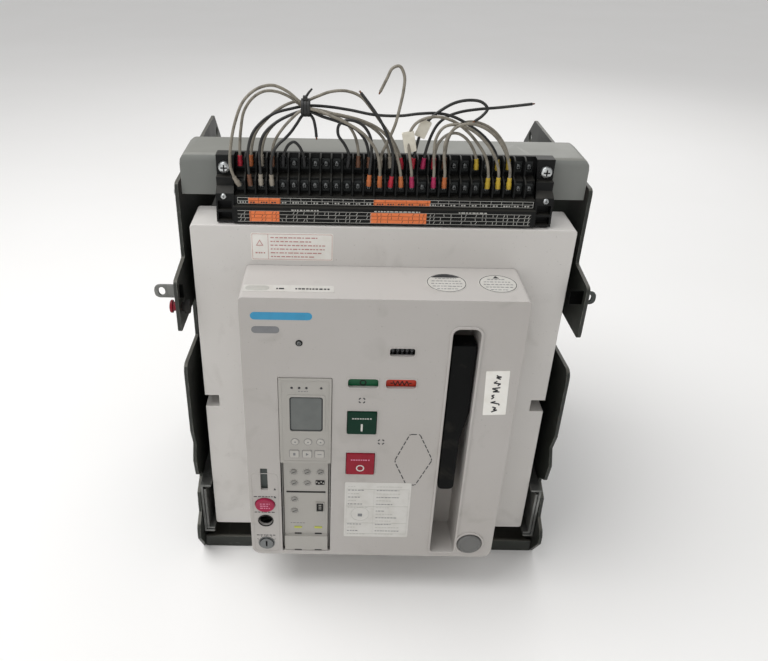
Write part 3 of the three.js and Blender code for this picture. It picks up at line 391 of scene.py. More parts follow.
class Shape:
    """Closed solids gathered in one mesh. Each keeps the index of its material."""

    def __init__(self):
        self.bm = bmesh.new()

    def face(self, corners, index):
        made = self.bm.faces.new(corners)
        made.material_index = index

    def prism(self, axis, points, start, end, index=0):
        near = [self.bm.verts.new(at(axis, u, v, start)) for u, v in points]
        far = [self.bm.verts.new(at(axis, u, v, end)) for u, v in points]
        self.face(near, index)
        self.face(far[::-1], index)
        for k in range(len(near)):
            self.face((near[k - 1], near[k], far[k], far[k - 1]), index)
        return self

    def ring(self, axis, outer, inner, start, end, index=0):
        """A frame between two outlines of as many points."""
        loops = [
            [self.bm.verts.new(at(axis, u, v, w)) for u, v in points]
            for points, w in ((outer, start), (outer, end), (inner, end), (inner, start))
        ]
        for k in range(len(outer)):
            for one, two in zip(loops, loops[1:] + loops[:1]):
                self.face((one[k - 1], one[k], two[k], two[k - 1]), index)
        return self

    def plate(self, box, radius, start, end, index=0, steps=4):
        """A raised patch on a front face, from its (x0, x1, z0, z1) box."""
        return self.prism("y", rounded(*box, radius, steps), start, end, index)

    def bezel(self, box, wide, radii, start, end, index=0):
        """A frame on a front face, that wide, round a box. The radii are the outer and the inner."""
        outer, inner = rounded(*grown(box, wide), radii[0]), rounded(*box, radii[1])
        return self.ring("y", outer, inner, start, end, index)

    def hoop(self, place, outer, inner, start, end, index=0, steps=32):
        """A flat ring on a front face."""
        return self.ring("y", circle(*place, outer, steps), circle(*place, inner, steps), start, end, index)

    def dome(self, place, seat, rim, crown, top, steps, index):
        """A low round boss on a front face. The rim and the crown are (radius, height), the top a height."""
        base, (radius, edge), (inner, shoulder) = seat + 0.0002, rim, crown
        side = [(0, base), (radius, base), (radius, seat - edge)]
        return self.lathe("y", place, [*side, (inner, seat - shoulder), (0, seat - top)], steps, index)

    def stroke(self, a, b, width, start, end, index=0):
        """A straight printed stroke on a front face."""
        return self.prism("y", line(a, b, width), start, end, index)

    def lathe(self, axis, centre, profile, steps=32, index=0, squash=1.0):
        """Turns (radius, place along the axis) pairs about an axis. Radius 0 is a point on it."""
        rings = []
        for radius, w in profile:
            points = circle(*centre, radius, steps, squash) if radius else [centre]
            rings.append([self.bm.verts.new(at(axis, u, v, w)) for u, v in points])
        for one, two in zip(rings, rings[1:]):
            for k in range(steps):
                corners = [one[k - 1], one[k], two[k], two[k - 1]] if len(one) > 1 and len(two) > 1 else None
                if corners is None:
                    ring, tip = (one, two[0]) if len(one) > 1 else (two, one[0])
                    corners = [ring[k - 1], ring[k], tip]
                self.face(corners, index)
        return self

    def sweep(self, points, radii, sides=12, index=0):
        """A closed tube along points, with a radius for each."""
        rings, side = [], None
        for k, point in enumerate(points):
            along = (points[min(k + 1, len(points) - 1)] - points[max(k - 1, 0)]).normalized()
            side = along.orthogonal() if side is None else side - along * side.dot(along)
            side.normalize()
            up = along.cross(side)
            angles = [2 * math.pi * s / sides for s in range(sides)]
            rings.append([
                self.bm.verts.new(point + radii[k] * (side * math.cos(a) + up * math.sin(a)))
                for a in angles
            ])
        self.face(rings[0], index)
        self.face(rings[-1][::-1], index)
        for one, two in zip(rings, rings[1:]):
            for k in range(sides):
                self.face((one[k - 1], one[k], two[k], two[k - 1]), index)
        return self

    def turned(self, matrix):
        bmesh.ops.transform(self.bm, matrix=matrix, verts=self.bm.verts)
        return self

    def made(self, name, body, materials, bevel=0.0, slot=None, segments=2):
        """Ends the mesh as a piece on a body."""
        bmesh.ops.recalc_face_normals(self.bm, faces=self.bm.faces)
        mesh = bpy.data.meshes.new(name)
        self.bm.to_mesh(mesh)
        self.bm.free()
        return piece(name, mesh, body, materials, bevel, segments)

    def cast(self, name, body, slot, bevel=0.0, extra=(), segments=2):
        """Ends the mesh as a piece with its slot's own finish, and any extra ones after it."""
        return self.made(name, body, [FINE[slot], *extra], bevel, slot, segments)


def piece(name, mesh, body, materials, bevel=0.0, segments=2, method="ANGLE"):
    made = bpy.data.objects.new(name, mesh)
    bpy.context.scene.collection.objects.link(made)
    for material in materials:
        mesh.materials.append(material)
    mesh.polygons.foreach_set("use_smooth", [True] * len(mesh.polygons))
    if bevel:
        modifier = made.modifiers.new("bevel", "BEVEL")
        modifier.width = bevel
        modifier.segments = segments
        modifier.limit_method = method
        modifier.angle_limit = SHARP
        modifier.use_clamp_overlap = True
        made.modifiers.new("normals", "WEIGHTED_NORMAL")
    else:
        mesh.set_sharp_from_angle(angle=SHARP)
    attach(made, body)
    return made


SHARP = math.radians(27)
MERGE = 0.000002


def refined(node, width, wide=0.0, where=None, material=None):
    """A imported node's own shape with its flat faces whole again and its edges rounded.

    Edges that `where` accepts, by their middle, take the `wide` rounding.
    """
    source = frame["nodes"][node]
    bm = bmesh.new()
    bm.from_mesh(source.data)
    bmesh.ops.remove_doubles(bm, verts=bm.verts, dist=MERGE)
    bmesh.ops.dissolve_limit(bm, angle_limit=math.radians(0.4), verts=bm.verts, edges=bm.edges)
    widest = max(width, wide)
    weights = bm.edges.layers.float.new("bevel_weight_edge")
    for edge in bm.edges:
        if len(edge.link_faces) == 2 and edge.calc_face_angle(0) > SHARP:
            middle = (edge.verts[0].co + edge.verts[1].co) / 2
            broad = where is not None and where(middle)
            edge[weights] = (wide if broad else width) / widest
    mesh = bpy.data.meshes.new(node + "_fine")
    bm.to_mesh(mesh)
    bm.free()
    slot = SLOT_OF[node]
    made = piece(
        node + "_fine", mesh, source["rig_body"], [material or FINE[slot]], widest, 3, "WEIGHT"
    )
    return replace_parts(made, node)


def pan_screw(shape, axis, centre, radius, seat, out, index=0, cross=1):
    """A pan-head screw whose head stands out of its seat, with a dark cross on it: painted shade standing
    for the cross recess.
    """
    height = radius * 0.75 * out
    profile = [
        (0, seat - 0.0004 * out),
        (radius, seat - 0.0004 * out),
        (radius, seat + 0.35 * height),
        (radius * 0.86, seat + 0.75 * height),
        (radius * 0.55, seat + height),
        (0, seat + height),
    ]
    shape.lathe(axis, centre, profile, 24, index)
    arm, half = radius * 0.55, radius * 0.13
    u, v = centre
    for du, dv in ((arm, half), (half, arm)):
        corners = rounded(u - du, u + du, v - dv, v + dv, half * 0.5, 2)
        shape.prism(axis, corners, seat + 0.6 * height, seat + height + 0.00004 * out, cross)


def words(shape, axis, u0, u1, v, height, start, end, index, dice, longest=0.0042):
    """A row of short strokes where small print would be. It spells nothing."""
    u = u0
    while u < u1 - 0.0008:
        stop = min(u + dice.uniform(0.0012, longest), u1)
        shape.prism(axis, [(u, v), (stop, v), (stop, v + height), (u, v + height)], start, end, index)
        u = stop + dice.uniform(0.0006, 0.0011)


# ---- Wires ----
WIRE = 0.0024
ROUTES = {
    "wire_grey_outer_loop": [
        (-0.117, -0.1185, 0.390), (-0.1205, -0.1205, 0.397), (-0.1232, -0.1215, 0.407),
        (-0.122, -0.1205, 0.423), (-0.1183, -0.116, 0.440), (-0.1117, -0.111, 0.455),
        (-0.1015, -0.1075, 0.4635), (-0.0893, -0.1064, 0.4662), (-0.0775, -0.1064, 0.4615),
        (-0.070, -0.1066, 0.4554), (-0.064, -0.1064, 0.4506), (-0.050, -0.106, 0.4464),
        (-0.037, -0.1056, 0.4442), (-0.0195, -0.1052, 0.4398), (-0.005, -0.105, 0.4328),
        (0.0046, -0.1076, 0.4234), (0.0094, -0.1142, 0.4126), (0.0122, -0.1174, 0.401),
        (0.013, -0.1185, 0.3905),
    ],
    "wire_grey_inner_loop": [
        (-0.1169, -0.1086, 0.403), (-0.1166, -0.1088, 0.417), (-0.1152, -0.1076, 0.432),
        (-0.1122, -0.1056, 0.446), (-0.105, -0.104, 0.456), (-0.096, -0.1032, 0.4609),
        (-0.086, -0.103, 0.4606), (-0.075, -0.1044, 0.4564), (-0.070, -0.1046, 0.4526),
        (-0.064, -0.1033, 0.449), (-0.050, -0.1019, 0.446), (-0.033, -0.101, 0.4414),
        (-0.016, -0.101, 0.4362), (-0.0034, -0.1024, 0.427), (0.0026, -0.1064, 0.416),
        (0.0043, -0.1086, 0.403),
    ],
    "wire_black_long_bridge": [
        (-0.1082, -0.1185, 0.390), (-0.1092, -0.1186, 0.403), (-0.1094, -0.116, 0.417),
        (-0.1055, -0.1125, 0.4305), (-0.098, -0.107, 0.4386), (-0.088, -0.1046, 0.4446),
        (-0.076, -0.102, 0.4474), (-0.064, -0.1001, 0.4494), (-0.050, -0.0988, 0.449),
        (-0.030, -0.0982, 0.4464), (-0.010, -0.1004, 0.4434), (0.0104, -0.1016, 0.4432),
        (0.025, -0.103, 0.4454), (0.040, -0.103, 0.446), (0.052, -0.1038, 0.4438),
        (0.0652, -0.106, 0.4378), (0.0782, -0.109, 0.4289), (0.0875, -0.1114, 0.417),
        (0.0909, -0.1086, 0.403),
    ],
    "wire_black_low_bundle": [
        (-0.0996, -0.1185, 0.3905), (-0.0999, -0.1184, 0.404), (-0.1002, -0.1164, 0.418),
        (-0.097, -0.114, 0.4294), (-0.089, -0.111, 0.4374), (-0.077, -0.1078, 0.4436),
        (-0.064, -0.1068, 0.4472), (-0.050, -0.104, 0.442), (-0.036, -0.1036, 0.4376),
        (-0.024, -0.1044, 0.4326), (-0.0164, -0.106, 0.424), (-0.0134, -0.1084, 0.4134),
        (-0.013, -0.1086, 0.403),
    ],
    "wire_grey_high_arc": [
        (-0.1082, -0.1086, 0.403), (-0.1076, -0.1086, 0.415), (-0.104, -0.1056, 0.4285),
        (-0.095, -0.1016, 0.439), (-0.084, -0.1002, 0.4476), (-0.074, -0.1002, 0.4522),
        (-0.064, -0.1018, 0.4536), (-0.056, -0.0998, 0.4564), (-0.0444, -0.0972, 0.460),
        (-0.0318, -0.0962, 0.4604), (-0.0207, -0.0962, 0.4562), (-0.0125, -0.0968, 0.4475),
        (-0.0048, -0.0976, 0.4376), (0.003, -0.0996, 0.4276), (0.0096, -0.105, 0.4168),
        (0.0128, -0.1082, 0.4086), (0.013, -0.1086, 0.4025),
    ],
    "wire_black_cut_short": [
        (0.0043, -0.1185, 0.3905), (0.0054, -0.1184, 0.404), (0.005, -0.1178, 0.418),
        (0.0005, -0.1164, 0.431), (-0.006, -0.1128, 0.443), (-0.0135, -0.1082, 0.4525),
        (-0.021, -0.1042, 0.461),
    ],
    "wire_black_side_loop": [
        (-0.0303, -0.1086, 0.403), (-0.0294, -0.1104, 0.414), (-0.033, -0.1118, 0.4226),
        (-0.0382, -0.112, 0.4305), (-0.0376, -0.1114, 0.438), (-0.0305, -0.111, 0.4417),
        (-0.0196, -0.111, 0.4383), (-0.013, -0.1128, 0.4295), (-0.0116, -0.1156, 0.417),
        (-0.0126, -0.1178, 0.404), (-0.013, -0.1185, 0.391),
    ],
    "wire_black_small_hook": [
        (-0.0823, -0.1086, 0.403), (-0.0814, -0.110, 0.413), (-0.0774, -0.1118, 0.4216),
        (-0.073, -0.1124, 0.4242), (-0.0688, -0.112, 0.4204), (-0.0656, -0.110, 0.4116),
        (-0.065, -0.1086, 0.403),
    ],
    "wire_grey_tall_hook": [
        (-0.0043, -0.1086, 0.403), (-0.0032, -0.1112, 0.415), (0.0016, -0.1122, 0.427),
        (0.0063, -0.1108, 0.439), (0.0093, -0.1076, 0.4509), (0.0119, -0.103, 0.4633),
        (0.0122, -0.0996, 0.4734), (0.0082, -0.0982, 0.4802), (0.0028, -0.0986, 0.4787),
        (-0.0012, -0.1004, 0.4714), (-0.0061, -0.1026, 0.4617),
    ],
    "wire_black_long_tail": [
        (0.0303, -0.1086, 0.403), (0.032, -0.1084, 0.417), (0.036, -0.1044, 0.429),
        (0.041, -0.0998, 0.4366), (0.048, -0.0972, 0.4418), (0.058, -0.096, 0.4454),
        (0.0724, -0.0956, 0.4478), (0.088, -0.0952, 0.4492), (0.1016, -0.0952, 0.4508),
        (0.1147, -0.0956, 0.4526),
    ],
    "wire_black_hook": [
        (0.0217, -0.1086, 0.403), (0.0236, -0.1096, 0.418), (0.027, -0.1078, 0.4314),
        (0.0326, -0.1074, 0.4416), (0.0414, -0.1058, 0.4488), (0.053, -0.1026, 0.4544),
        (0.065, -0.1014, 0.4562), (0.0738, -0.1018, 0.4548), (0.0784, -0.103, 0.4502),
        (0.075, -0.1042, 0.4452), (0.069, -0.105, 0.4407),
    ],
    "wire_grey_right_arc": [
        (0.0217, -0.1185, 0.3905), (0.0206, -0.1182, 0.404), (0.0182, -0.1162, 0.418),
        (0.0174, -0.113, 0.431), (0.0232, -0.111, 0.4406), (0.037, -0.1104, 0.4452),
        (0.051, -0.1102, 0.4422), (0.0626, -0.1108, 0.4348), (0.0723, -0.1124, 0.4249),
        (0.0796, -0.1152, 0.414), (0.0822, -0.118, 0.402), (0.0823, -0.1185, 0.3905),
    ],
}
# More wires of the same kind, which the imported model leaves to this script.
MORE_ROUTES = {
    "wire_grey_front_arc": [
        (0.039, -0.1185, 0.3905), (0.0386, -0.1186, 0.404), (0.0376, -0.1176, 0.418),
        (0.0386, -0.1156, 0.430), (0.044, -0.1144, 0.4382), (0.053, -0.114, 0.4404),
        (0.064, -0.1142, 0.4374), (0.0745, -0.1152, 0.4304), (0.0836, -0.1168, 0.420),
        (0.0896, -0.118, 0.407), (0.0909, -0.1185, 0.3905),
    ],
    "wire_grey_outer_arc": [
        (0.0476, -0.1185, 0.3905), (0.0472, -0.119, 0.404), (0.0454, -0.1192, 0.418),
        (0.0464, -0.1184, 0.430), (0.0526, -0.1176, 0.4388), (0.062, -0.1174, 0.442),
        (0.073, -0.1174, 0.440), (0.084, -0.1176, 0.433), (0.093, -0.1182, 0.4214),
        (0.0986, -0.1188, 0.407), (0.0996, -0.1185, 0.3905),
    ],
    "wire_grey_low_arc": [
        (0.039, -0.1086, 0.403), (0.0392, -0.1092, 0.414), (0.042, -0.1084, 0.4245),
        (0.0486, -0.1074, 0.4306), (0.056, -0.1072, 0.4316), (0.0634, -0.1076, 0.4276),
        (0.0696, -0.1084, 0.4196), (0.073, -0.1088, 0.411), (0.0736, -0.1086, 0.403),
    ],
    "wire_grey_back_arc": [
        (0.0476, -0.1086, 0.403), (0.0478, -0.1076, 0.416), (0.050, -0.1036, 0.427),
        (0.056, -0.0996, 0.435), (0.066, -0.0984, 0.4386), (0.077, -0.0988, 0.437),
        (0.087, -0.1004, 0.4314), (0.0946, -0.1032, 0.4226), (0.0988, -0.1068, 0.4124),
        (0.0996, -0.1086, 0.403),
    ],
    "wire_grey_tied_back": [
        (-0.0996, -0.1086, 0.403), (-0.0992, -0.1076, 0.415), (-0.0962, -0.1034, 0.426),
        (-0.089, -0.0992, 0.4346), (-0.079, -0.0984, 0.4404), (-0.071, -0.0994, 0.4438),
        (-0.064, -0.101, 0.4462), (-0.052, -0.1002, 0.444), (-0.041, -0.0984, 0.441),
        (-0.0315, -0.0988, 0.4355), (-0.025, -0.102, 0.427), (-0.022, -0.106, 0.4165),
        (-0.0217, -0.1086, 0.403),
    ],
    "wire_grey_tied_front": [
        (-0.0909, -0.1086, 0.403), (-0.0906, -0.1104, 0.414), (-0.088, -0.113, 0.425),
        (-0.082, -0.1136, 0.4346), (-0.074, -0.1118, 0.443), (-0.069, -0.110, 0.447),
        (-0.064, -0.109, 0.4494), (-0.054, -0.110, 0.4482), (-0.043, -0.1136, 0.445),
        (-0.030, -0.1164, 0.440), (-0.0175, -0.1176, 0.432), (-0.0086, -0.119, 0.421),
        (-0.0049, -0.1196, 0.408), (-0.0043, -0.1185, 0.3905),
    ],
    "wire_black_tied_stub": [
        (-0.0909, -0.1185, 0.3905), (-0.0912, -0.119, 0.402), (-0.0908, -0.1192, 0.411),
        (-0.0886, -0.1188, 0.4186), (-0.0846, -0.1176, 0.424), (-0.080, -0.1154, 0.4276),
        (-0.0756, -0.1114, 0.4314), (-0.071, -0.1072, 0.437), (-0.0662, -0.1044, 0.4432),
        (-0.062, -0.1044, 0.4446), (-0.0584, -0.1052, 0.4414), (-0.0564, -0.1066, 0.4348),
        (-0.0554, -0.1076, 0.427),
    ],
}
# The sleeve at the first end and at the last; a cut end has none.
SLEEVE_OF = {
    "wire_grey_outer_loop": ("grey", "orange"),
    "wire_grey_inner_loop": ("red", "grey"),
    "wire_black_long_bridge": ("brown", "yellow"),
    "wire_black_low_bundle": ("grey", "brown"),
    "wire_grey_high_arc": ("orange", "red"),
    "wire_black_cut_short": ("red", None),
    "wire_black_side_loop": ("black", "orange"),
    "wire_black_small_hook": ("black", "black"),
    "wire_grey_tall_hook": ("grey", None),
    "wire_black_long_tail": ("pink", None),
    "wire_black_hook": ("red", None),
    "wire_grey_right_arc": ("pink", "yellow"),
    "wire_grey_front_arc": ("pink", "yellow"),
    "wire_grey_outer_arc": ("orange", "yellow"),
    "wire_grey_low_arc": ("red", "yellow"),
    "wire_grey_back_arc": ("brown", "yellow"),
    "wire_grey_tied_back": ("grey", "brown"),
    "wire_grey_tied_front": ("brown", "orange"),
    "wire_black_tied_stub": ("grey", None),
}


def smooth_line(points, step):
    """A centripetal Catmull-Rom line through the points, as points about a step apart."""
    points = [Vector(p) for p in points]
    points = [2 * points[0] - points[1], *points, 2 * points[-1] - points[-2]]
    made = []
    for p0, p1, p2, p3 in zip(points, points[1:], points[2:], points[3:]):
        t0, t1, t2 = [max((b - a).length, 1e-9) ** 0.5 for a, b in ((p0, p1), (p1, p2), (p2, p3))]
        out = ((p1 - p0) / t0 - (p2 - p0) / (t0 + t1) + (p2 - p1) / t1) * t1
        into = ((p2 - p1) / t1 - (p3 - p1) / (t1 + t2) + (p3 - p2) / t2) * t1
        count = max(2, round((p2 - p1).length / step))
        for k in range(count):
            s = k / count
            made.append(
                p1 * (2 * s**3 - 3 * s**2 + 1) + out * (s**3 - 2 * s**2 + s)
                + p2 * (3 * s**2 - 2 * s**3) + into * (s**3 - s**2)
            )
    return [*made, points[-2]]


def wire_curve(name, points, material):
    data = bpy.data.curves.new(name, "CURVE")
    data.dimensions = "3D"
    data.bevel_depth = WIRE / 2
    data.bevel_resolution = 3
    data.use_fill_caps = True
    spline = data.splines.new("POLY")
    spline.points.add(len(points) - 1)
    for slot, point in zip(spline.points, points):
        slot.co = (*point, 1)
    spline.use_smooth = True
    data.materials.append(material)
    made = bpy.data.objects.new(name, data)
    bpy.context.scene.collection.objects.link(made)
    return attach(made, "cradle")


SLEEVE_LENGTH = 0.0095
SLEEVE_RADIUS = 0.0021


def sleeve(name, points, color):
    """A crimp sleeve over a wire's end, wide at the terminal and drawn in towards the wire."""
    length, kept = 0.0, [points[0]]
    for a, b in zip(points, points[1:]):
        length += (b - a).length
        if length > SLEEVE_LENGTH:
            break
        kept.append(b)
    last = len(kept) - 1
    radii = [SLEEVE_RADIUS * (1 if k < 0.6 * last else 0.82) for k in range(last + 1)]
    shape = Shape().sweep(kept, radii, 16)
    return shape.made(name, "cradle", [SLEEVES[color]], 0.0003)


def strands(name, points):
    """The copper strands that show where a wire was cut."""
    along = (points[-1] - points[-2]).normalized()
    side = along.orthogonal().normalized()
    up = along.cross(side)
    shape = Shape()
    for k in range(7):
        angle = 2 * math.pi * k / 6
        off = Vector() if k == 6 else (side * math.cos(angle) + up * math.sin(angle)) * 0.0005
        start = points[-1] - along * 0.001 + off
        reach = 0.0022 + 0.0005 * (k % 3)
        shape.sweep([start, start + along * reach], [0.00024, 0.00022], 8)
    return shape.made(name, "cradle", [COPPER])


def marker(name, centre, tilt, width, height):
    """A folded paper tag on a wire."""
    u, v, sheet, gap = width / 2, height / 2, 0.0016, 0.0008
    leaf = rounded(-u, u, -v, v, 0.001)
    shape = Shape().prism("y", leaf, -sheet, -gap).prism("y", leaf, gap, sheet)
    shape.plate((-u, -u + 0.0012, -v, v), 0.0004, -0.0012, 0.0012)
    turn = Matrix.Translation(centre) @ Matrix.Rotation(math.radians(tilt), 4, "Y")
    return shape.turned(turn).made(name, "cradle", [PAPER], 0.0002)


def bundle_tie():
    """The tie round the bundle, with its cut tail."""
    shape = Shape()
    centre = (-0.1044, 0.4492)
    outer, inner = circle(*centre, 0.0070, 32), circle(*centre, 0.0062, 32)
    for x, wide in ((-0.0664, 0.0022), (-0.0640, 0.0024), (-0.0616, 0.0022)):
        shape.ring("x", outer, inner, x - wide / 2, x + wide / 2)
    shape.prism("x", rounded(-0.1080, -0.1045, 0.4553, 0.4588, 0.0006), -0.0660, -0.0624)
    tail = ((-0.064, -0.105, 0.457), (-0.0615, -0.106, 0.461), (-0.0588, -0.1055, 0.4640))
    shape.sweep([Vector(p) for p in tail], [0.0011, 0.001, 0.0008], 8)
    return shape.made("wire_bundle_tie", "cradle", [FINE["black_wire"]], 0.0003)


def make_wires():
    extras = {
        "wire_black_long_bridge": [bundle_tie()],
        "wire_grey_right_arc": [marker("wire_tag_near", (0.0178, -0.1140, 0.4262), -12, 0.0095, 0.016)],
        "wire_black_hook": [marker("wire_tag_far", (0.0287, -0.1076, 0.4350), 22, 0.0085, 0.014)],
    }
    for name, route in (ROUTES | MORE_ROUTES).items():
        points = smooth_line(route, 0.0009)
        kind = "black_wire" if "black" in name else "grey_wire"
        made = wire_curve(name + "_fine", points, FINE[kind])
        if name in ROUTES:
            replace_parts(made, name)
        first, last = SLEEVE_OF[name]
        pieces = [sleeve(name + "_sleeve_a", points, first), *extras.get(name, [])]
        if last:
            pieces.append(sleeve(name + "_sleeve_b", points[::-1], last))
        else:
            pieces.append(strands(name + "_strands", points))


make_wires()


# ---- Cradle ----
POLES = ("left", "middle", "right")
POSTS = [f"{level}_{pole}" for level in ("upper", "lower") for pole in POLES]
TERMINAL_NODES = ["main_terminal_" + post for post in POSTS]


def make_cradle():
    for side in ("left", "right"):
        refined("cradle_side_plate_" + side, 0.0006)
        refined("fixed_rail_" + side, 0.0004)
        refined("extension_rail_" + side, 0.0004)
    refined("padlock_tab_left", 0.0003, material=TAB)
    refined("padlock_tab_right", 0.0003, material=DULL_TAB)
    refined("cradle_base_pan", 0.0006)
    refined("cradle_top_beam", 0.0007)
    refined("racking_carriage", 0.0005)
    refined("shutter_upper", 0.0005)
    refined("shutter_lower", 0.0005)
    refined("rear_insulating_panel", 0.001)
    for node in TERMINAL_NODES:
        refined(node, 0.0006)
    plate_screws()
    rear_fittings()


def plate_screws():
    """Screws through the side plates into the rails, the pan and the beam."""
    plates = {-1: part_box("cradle_side_plate_left")[0].x, 1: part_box("cradle_side_plate_right")[1].x}
    places = [(-0.115, 0.054), (-0.010, 0.054), (0.095, 0.054), (-0.085, 0.012), (0.120, 0.012),
              (-0.092, 0.374), (0.127, 0.300), (0.127, 0.120)]
    shape = Shape()
    for side, face in plates.items():
        for place in places:
            pan_screw(shape, "x", place, 0.0042, face, side)
    shape.cast("side_plate_screws", "cradle", "bright_steel", 0.0002, [BLACK_AND_HOLLOW_SHADE])


def rear_fittings():
    """Barriers, window frames and screws on the rear panel, screws on the terminals."""
    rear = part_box("rear_insulating_panel")[1].y
    flange = 0.129
    ribs, screws = Shape(), Shape()
    barrier = [(rear - 0.001, 0.02), (rear + 0.003, 0.022), (rear + 0.003, 0.343), (rear - 0.001, 0.345)]
    for x in (-0.048, 0.048):
        ribs.prism("x", barrier, x - 0.0015, x + 0.0015)
    for node in TERMINAL_NODES:
        low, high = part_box(node)
        inner = grown((low.x, high.x, low.z, high.z), 0.001)
        ribs.bezel(inner, 0.005, (0.004, 0.001), rear - 0.0005, rear + 0.0015)
        middle_x, middle_z = (low.x + high.x) / 2, (low.z + high.z) / 2
        for x in (-0.0285, 0.0285):
            for z in (-0.0135, 0.0135):
                pan_screw(screws, "y", (middle_x + x, middle_z + z), 0.0028, flange, 1)
    for x in (-0.155, 0.155):
        for z in (0.030, 0.175, 0.305):
            pan_screw(screws, "y", (x, z), 0.0042, rear, 1)
    ribs.cast("rear_panel_ribs", "cradle", "black_moulding", 0.0006)
    screws.cast("rear_screws", "cradle", "bright_steel", 0.0002, [BLACK_AND_HOLLOW_SHADE])


make_cradle()


# ---- Control terminal block ----
TERMINALS = 28
PITCH = 0.00866
ROWS = ((-0.114, 0.3895), (-0.104, 0.4045))


def terminal_x(index):
    return (index - (TERMINALS - 1) / 2) * PITCH


def make_terminal_block():
    refined("control_terminal_block", 0.00035)
    shape = Shape()
    for wall, z in ROWS:
        for index in range(TERMINALS):
            x = terminal_x(index)
            clamp = rounded(x - 0.0031, x + 0.0031, z - 0.0045, z + 0.0045, 0.0005, 2)
            shape.prism("y", clamp, wall + 0.0002, wall - 0.0009, 2)
            pan_screw(shape, "y", (x, z), 0.0025, wall - 0.0009, -1)
    shape.made("terminal_screws", "cradle", [SCREW, BLACK_AND_HOLLOW_SHADE, CLAMP], 0.0001, "bright_steel")
    ends = Shape()
    for x in (-0.1295, 0.1295):
        pan_screw(ends, "y", (x, 0.403), 0.0049, -0.112, -1)
        pan_screw(ends, "y", (x, 0.3828), 0.0024, -0.1246, -1)
    ends.cast("terminal_block_screws", "cradle", "bright_steel", 0.0002, [BLACK_AND_HOLLOW_SHADE])
    terminal_labels()


def terminal_labels():
    """Two printed strips of cells below the terminals, with orange stretches."""
    dice = random.Random(5)
    shape = Shape()
    upper, lower = -0.124, -0.128
    first, span, hair = -0.1185, 0.2385, 0.00028
    shape.plate((-0.119, 0.121, 0.3762, 0.3824), 0.0004, upper + 0.0002, upper - LABEL, steps=2)
    shape.plate((-0.120, 0.120, 0.3622, 0.3742), 0.0004, lower + 0.0002, lower - LABEL, steps=2)
    for box, face in (
        ((-0.1098, -0.0840, 0.3768, 0.3818), upper), ((-0.0086, 0.0370, 0.3768, 0.3818), upper),
        ((-0.1089, -0.0848, 0.3630, 0.3722), lower), ((-0.0111, 0.0343, 0.3630, 0.3722), lower),
    ):
        shape.plate(box, 0.0003, face, face - LABEL - INK, 2, 2)
    for index in range(TERMINALS + 1):
        x = min(first + index * span / TERMINALS, 0.12)
        shape.stroke((x, 0.3768), (x, 0.3818), hair, upper, upper - LABEL - INK, 1)
    for z in (0.3768, 0.3793, 0.3818):
        shape.stroke((first, z), (0.12, z), hair, upper, upper - LABEL - INK, 1)
    for z in (0.3630, 0.3661, 0.3692, 0.3722):
        shape.stroke((first, z), (-first, z), hair, lower, lower - LABEL - INK, 1)
    for index in range(TERMINALS):
        x = first + (index + 0.5) * span / TERMINALS
        on_black = -0.0848 < x < -0.0111 or x > 0.0343 or x < -0.1089
        ink = 1 if on_black else 3
        for low, high in ((0.3635, 0.3656), (0.3666, 0.3687), (0.3697, 0.3717)):
            for slip in (-0.0021, 0.0009):
                if dice.random() < 0.8:
                    top = (x + slip + dice.uniform(-0.0004, 0.0012), high)
                    shape.stroke((x + slip, low), top, 0.00035, lower, lower - LABEL - 2 * INK, ink)
        depth = upper - LABEL - 2 * INK
        words(shape, "y", x - 0.0026, x + 0.0026, 0.3774, 0.0011, upper, depth, ink, dice, 0.0016)
    for u0, u1 in ((-0.075, -0.052), (-0.008, 0.030), (0.060, 0.084)):
        words(shape, "y", u0, u1, 0.3727, 0.0009, lower, lower - LABEL - INK, 1, dice, 0.003)
    shape.made("terminal_labels", "cradle", [FINE["black_moulding"], PALE_INK, ORANGE, DARK_INK])


make_terminal_block()


# ---- Front panel ----
def make_front_panel():
    refined("front_panel", 0.0008, 0.002, lambda p: abs(p.x) > 0.157 or p.z > 0.358, PANEL_GREY)
    dice = random.Random(11)
    face, ink = PANEL_FACE, PANEL_FACE - LABEL - INK
    label = (-0.1086, -0.0408, 0.3294, 0.3539)
    low, high = label[2:]
    shape = Shape().plate(label, 0.0012, face + 0.0002, face - LABEL)
    shape.bezel(grown(label, -0.0011), 0.0003, (0.001, 0.0008), face, ink, 1)
    shape.stroke((-0.0945, low + 0.001), (-0.0945, high - 0.001), 0.0003, face, ink, 1)
    for row in range(6):
        z = high - 0.0045 - row * 0.0034
        words(shape, "y", -0.0925, dice.uniform(-0.06, -0.0435), z, 0.0009, face, ink, 1, dice)
    triangle = [(-0.1046, 0.3425), (-0.0984, 0.3425), (-0.1015, 0.3480)]
    inner = [(-0.1036, 0.3431), (-0.0994, 0.3431), (-0.1015, 0.3468)]
    shape.ring("y", triangle, inner, face, ink, 1)
    words(shape, "y", -0.1052, -0.0972, 0.3355, 0.0012, face, ink, 1, dice, 0.002)
    shape.made("panel_label", "breaker", [WHITE, RED_INK])


make_front_panel()


# ---- Control cover ----
HANDLE_SLOT = {"left": 0.0554, "right": 0.078, "low": 0.053, "top": 0.2996}
LOCK_X = -0.0998


def slot_outline(grow):
    """The handle slot's outline, grown by a little: tight corners below, wide ones above."""
    left, right = HANDLE_SLOT["left"] - grow, HANDLE_SLOT["right"] + grow
    low, top = HANDLE_SLOT["low"] - grow, HANDLE_SLOT["top"] + grow
    middle_x, middle_z = 0.0667, 0.17
    wide, tight = 0.006 + grow, 0.003 + grow
    points = []
    for u, v, start, radius in (
        (right, top, 0, wide), (left, top, 90, wide), (left, low, 180, tight), (right, low, 270, tight),
    ):
        centre = (u - math.copysign(radius, u - middle_x), v - math.copysign(radius, v - middle_z))
        points += [polar(centre, radius, start + 90 * step / 8) for step in range(9)]
    return points


